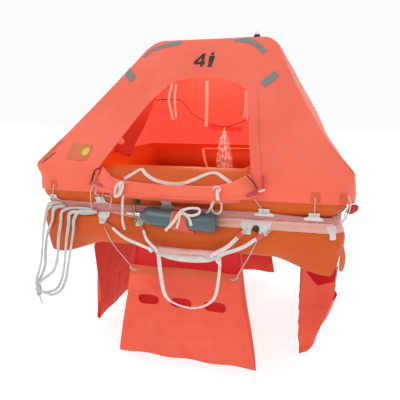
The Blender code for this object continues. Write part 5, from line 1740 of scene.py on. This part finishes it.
def makeEntranceTrim(b=bowSet):
    for name, y, width, lean, points in b["flat"]:
        flatTie(name, atFront(points, y), width, lean)
    for name, y, radius, finish, points in b["round"]:
        cordPiece(name, atFront(points, y), radius, finish)
    for i, route in enumerate(b["zips"]):
        cordPiece("zipChain%d" % (i + 1), overCrease(route), b["zip"], "mark", "valve_brass")
    for i, corners in enumerate(b["tags"]):
        freePatch("cornerTag%d" % (i + 1), corners, 0.0022, "redTag", "canopy_cloth")
    freePatch("tagKnot", b["tagKnot"], 0.006, "tie", "webbing_white")
    # Webbing that lies on the upper tube's skin
    axis = [Vector((x, -tubeHalf, upperZ)) for x, y, over in b["overTube"]]
    faces = [Vector((0, y + tubeHalf, crease + over - upperZ)).normalized() for x, y, over in b["overTube"]]
    points = [centre + out * (tubeRadius + 0.0016) for centre, out in zip(axis, faces)]
    give(tapeAlong("tubeWebbing", points, *b["webbing"], faces, 6), "tie", "webbing_white")
    for turn, side in enumerate(sideNames):
        # Short lashings from the hem's patches down to the tube's patches
        for i, (high, low, dropped) in enumerate(b["plainLashings" if turn else "lashings"]):
            start = onCanopy(high, 0.112, 0.003, turn)
            over = 0.040 - 0.5 * dropped
            foot = quarterTurn(turn) @ Vector((low, -outAt(over, upperZ, 0.0095), crease + over))
            out = quarterTurn(turn) @ Vector((0, -0.010, 0))
            route = [start + Vector((0, 0, 0.010)), start, start.lerp(foot, 0.45) + out * 0.4, foot + out * 0.3,
                     foot + Vector((0, 0, -0.010))]
            cordPiece("hemLashing%s%d" % (side, i + 1), route, b["cord"])
    for i, (route, width, line) in enumerate(b["sheaves"]):
        # Each runs on into the top of its hanging line
        strand = hankRoute(hankSet["lines"][line])[1:3]
        points = overCrease(route) + [p + Vector((0, -0.003, 0)) for p in strand]
        faces = [Vector((0.1, -1, 0.4 * sin(k * 1.4 + i))) for k in range(len(route))] + [Vector((0, -1, 0))] * 2

        def narrowing(share):
            return width + (b["sheafEnd"] - width) * ease(0.5, 1, share)

        give(tapeAlong("sheaf%d" % (i + 1), points, narrowing, 0.0018, faces, 8, 3, 0.002), "hank", "white_line")


makeEntranceTrim()
print("entrance trim done")


# What shows inside the cabin: ties, a clear bag on the lanyard, tapes on the tubes
cabinSet = {
    "ties": [                 # x, height over the crease, and width
        ([(-0.187, 0.685), (-0.209, 0.589), (-0.184, 0.467)], 0.014),
        ([(-0.161, 0.685), (-0.170, 0.590), (-0.164, 0.479)], 0.012),
        ([(0.035, 0.699), (0.036, 0.560), (0.030, 0.428)], 0.018),
        ([(0.273, 0.638), (0.272, 0.560), (0.265, 0.481)], 0.012),
        ([(0.275, 0.638), (0.284, 0.550), (0.284, 0.469)], 0.010),
    ],
    "bag": [                  # height over the crease, left and right edge
        (0.412, 0.079, 0.084), (0.360, 0.058, 0.100), (0.322, 0.043, 0.114), (0.216, 0.030, 0.138),
        (0.150, 0.020, 0.146), (0.120, 0.036, 0.144), (0.102, 0.064, 0.138),
    ],
    "redPatch": [(0.189, 0.410), (-0.115, 0.395), (-0.099, 0.346), (0.181, 0.365)],
    "tubeTapes": [            # x and height over the crease on the back tube's inner side, width
        ([(-0.230, 0.197), (-0.020, 0.203), (0.188, 0.207)], 0.010),
        ([(-0.230, 0.197), (-0.205, 0.100), (-0.185, 0.005)], 0.020),
        ([(0.240, 0.080), (0.175, 0.048), (0.107, 0.016)], 0.016),
    ],
    "discs": [((-0.670, -0.0795, 0.307), (0, -1, 0), 0.025)],        # place, facing, radius
}


def makeCabin(c=cabinSet):
    for i, (route, width) in enumerate(c["ties"]):
        flatTie("cabinTie%d" % (i + 1), atFront(route, -0.34), width, 0.35, "salmon")

    def bagSkin(u, v):
        rows = c["bag"]
        place = v * (len(rows) - 1)
        i = min(int(place), len(rows) - 2)
        z, low, high = [a + (b - a) * (place - i) for a, b in zip(rows[i], rows[i + 1])]
        angle = 2 * pi * u
        deep = 0.022 * sin(pi * min(1.0, 0.04 + v * 0.94)) * (1 + 0.4 * wobble(z * 30, u * 9, 1))
        return Vector(((low + high) / 2 + (high - low) / 2 * cos(angle), deep * sin(angle), crease + z))

    bag = gridPiece("clearBag", 28, 30, bagSkin, (0.25, 0.32))
    openEdit(bag)
    bpy.ops.mesh.remove_doubles(threshold=0.00005)
    bpy.ops.mesh.select_all(action="DESELECT")
    bpy.ops.mesh.select_non_manifold()
    bpy.ops.mesh.fill()
    closeEdit()
    shade(bag, 50)
    give(bag, "clearBag", "lens_clear")
    patch = patchOnCanopy("cabinPatch", c["redPatch"], lift=-0.0058, thick=0.001, turn=2, rounded=0.03)
    give(patch, "cabinPatch", "canopy_cloth")
    for i, (route, width) in enumerate(c["tubeTapes"]):
        points, faces = [], []
        for place in curveThrough([(x, 0, over) for x, over in route], 4):
            rise = crease + place.z - upperZ
            inwards = Vector((0, -sqrt((tubeRadius + 0.0016) ** 2 - rise ** 2), rise))
            points.append(Vector((place.x, tubeHalf, upperZ)) + inwards)
            faces.append(inwards.normalized())
        give(tapeAlong("tubeTape%d" % (i + 1), points, width, 0.0016, faces, 2), "salmon", "pale_band")
    for i, (place, facing, radius) in enumerate(c["discs"]):
        foot = overCrease([place])[0]
        profile = [(0, radius), (0.0016, radius), (0.0022, radius * 0.94)]
        give(lathe("cabinDisc%d" % (i + 1), foot, foot + Vector(facing), profile, 28), "salmon", "pale_band")


makeCabin()
print("cabin done")


# Topping-up valve, float, righting loop and canopy light
fittingSet = {
    "valve": (0.411, -0.056),
    "float": (0.8654, -0.80, 0.062),
    "floatRadii": (0.0205, 0.0205, 0.0308),
    "floatTilt": 52,          # degrees
    "floatCord": [(0.832, -0.842, 0.020), (0.815, -0.850, 0.004)],
    "loopLegs": (-0.528, -0.572),
    "loop": ((0.8665, -0.2658), (0.864, -0.3488)),    # its side and its lowest place as (x, height over the crease)
    "loopWidth": 0.030,
    "lightX": 0.29,
    # Profiles as (distance along, radius)
    "cap": [(0, 0.0165), (0.0025, 0.017), (0.0035, 0.015), (0.004, 0.012), (0.011, 0.0118), (0.0125, 0.0105),
            (0.0128, 0.004)],
    "base": [(0, 0.0222), (0.003, 0.0225), (0.0045, 0.020), (0.0115, 0.0195), (0.013, 0.018), (0.0141, 0.0175)],
    "lens": [(0, 0.016), (0.008, 0.016), (0.0125, 0.0148), (0.016, 0.012), (0.0185, 0.0085), (0.0205, 0.0045),
             (0.021, 0.0015)],
}


def makeFloat(f=fittingSet):
    letGo()
    bpy.ops.mesh.primitive_uv_sphere_add(segments=28, ring_count=18, radius=1)
    bean = bpy.context.object
    bean.name = "cornerFloat"
    wide, deep, high = f["floatRadii"]
    for point in bean.data.vertices:
        waist = 1 - 0.10 * exp(-(point.co.z / 0.22) ** 2)
        point.co = Vector((point.co.x * wide * waist, point.co.y * deep * waist, point.co.z * high))
    centre = overCrease([f["float"]])[0]
    bean.data.transform(Matrix.Rotation(radians(f["floatTilt"]), 4, "Y"))
    bean.data.transform(Matrix.Translation(centre))
    shade(bean, 60)
    give(bean, "float", "float_foam", "corner_float")
    cordPiece("floatCord", [centre + Vector((-0.020, -0.006, -0.016)), centre + Vector((-0.026, -0.024, -0.028))]
              + overCrease(f["floatCord"]), 0.0024)


def makeRightingLoop(f=fittingSet):
    slant = radians(-25)
    normal = Vector((cos(slant), 0, sin(slant)))
    legs = [Vector((tubeHalf, y, lowerZ)) + normal * (tubeRadius + 0.0012) for y in f["loopLegs"]]
    for leg in legs:
        outSag, downSag = cornerSag(leg.y / (tubeHalf + tubeRadius * normal.x), slant - 0.104)
        leg += normal * (outSag * normal.x - downSag * normal.z)
    (besideX, besideZ), (lowX, lowZ) = f["loop"]
    beside = [Vector((besideX, leg.y, crease + besideZ)) for leg in legs]
    low = Vector((lowX, (legs[0].y + legs[1].y) / 2, crease + lowZ))
    loop = tapeAlong("rightingLoop", [legs[0], beside[0], low, beside[1], legs[1]], f["loopWidth"], 0.002,
                     (0.50, -0.87, 0), 8, 3)
    give(loop, "webbingOrange", "webbing_orange", "righting_loop")


def makeFittings(f=fittingSet):
    x, over = f["valve"]
    face = outAt(over, lowerZ, 0.0085)
    foot = Vector((x, -face, crease + over))
    normal = Vector((0, tubeHalf - face, crease + over - lowerZ)).normalized()
    give(lathe("toppingValve", foot, foot + normal, f["cap"], 28), "black", "black_plastic", "topping_valve")
    makeFloat()
    makeRightingLoop()
    for name, node, finish, slot in (("lightBase", "light_base", "black", "black_plastic"),
                                     ("lightLens", "light_lens", "lens", "lens_clear")):
        foot = Vector((f["lightX"], 0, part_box(node)[0].z))
        give(lathe(name, foot, foot + Vector((0, 0, 1)), f[name[5:].lower()], 28), finish, slot, node)
    marker = stripOnCanopy("ridgeMarker", [(0.195, 0.9925), (0.270, 0.9925)], 0.014, 0.001, 0.0012)
    give(marker, "patch", "canopy_cloth")


makeFittings()
print("fittings done")


# Stage: a plain pale floor under the hanging pockets, and soft light
stageSet = {
    "floorZ": crease - 1.01,
    "floorSize": 60.0,
    "floorTone": (0.30, 0.30, 0.30),
    "floorGlow": 0.81,
    "world": 0.97,
    "lamps": [                # name, place, size, power
        ("keyLight", (-2.4, -4.6, 3.6), 3.0, 44), ("fillLight", (3.2, -4.0, 1.6), 2.5, 6),
        ("backLight", (1.5, 4.5, 3.0), 3.0, 30),
    ],
    "aim": (0, 0, 0.4),
    "cabinLamp": ((0, -0.15, crease + 0.60), 8.0, (1.0, 0.70, 0.58)),
}


def addLamp(name, kind, place, power):
    bpy.ops.object.light_add(type=kind, location=place)
    lamp = bpy.context.object
    lamp.name = name
    lamp.data.energy = power
    return lamp


def makeStage(s=stageSet):
    white = (1, 1, 1, 1)
    letGo()
    bpy.ops.mesh.primitive_plane_add(size=s["floorSize"], location=(0, 0, s["floorZ"]))
    floor = bpy.context.object
    floor.name = "studioFloor"
    material, shader = newFinish("paleFloor", 0.9)
    setUp(shader, Base_Color=(*s["floorTone"], 1), Emission_Color=white, Emission_Strength=s["floorGlow"])
    floor.data.materials.append(material)
    world = bpy.data.worlds.new("studio")
    bpy.context.scene.world = world
    world.use_nodes = True
    setUp(world.node_tree.nodes["Background"], Color=white, Strength=s["world"])
    for name, place, size, power in s["lamps"]:
        lamp = addLamp(name, "AREA", place, power)
        lamp.data.size = size
        lamp.rotation_euler = (Vector(s["aim"]) - Vector(place)).to_track_quat("-Z", "Y").to_euler()
    # Daylight that comes through the canopy's cloth
    place, power, colour = s["cabinLamp"]
    lamp = addLamp("cabinLight", "POINT", place, power)
    lamp.data.color = colour
    lamp.data.shadow_soft_size = 0.2
    bpy.context.scene.view_settings.view_transform = "Standard"


makeStage()
print("stage done")
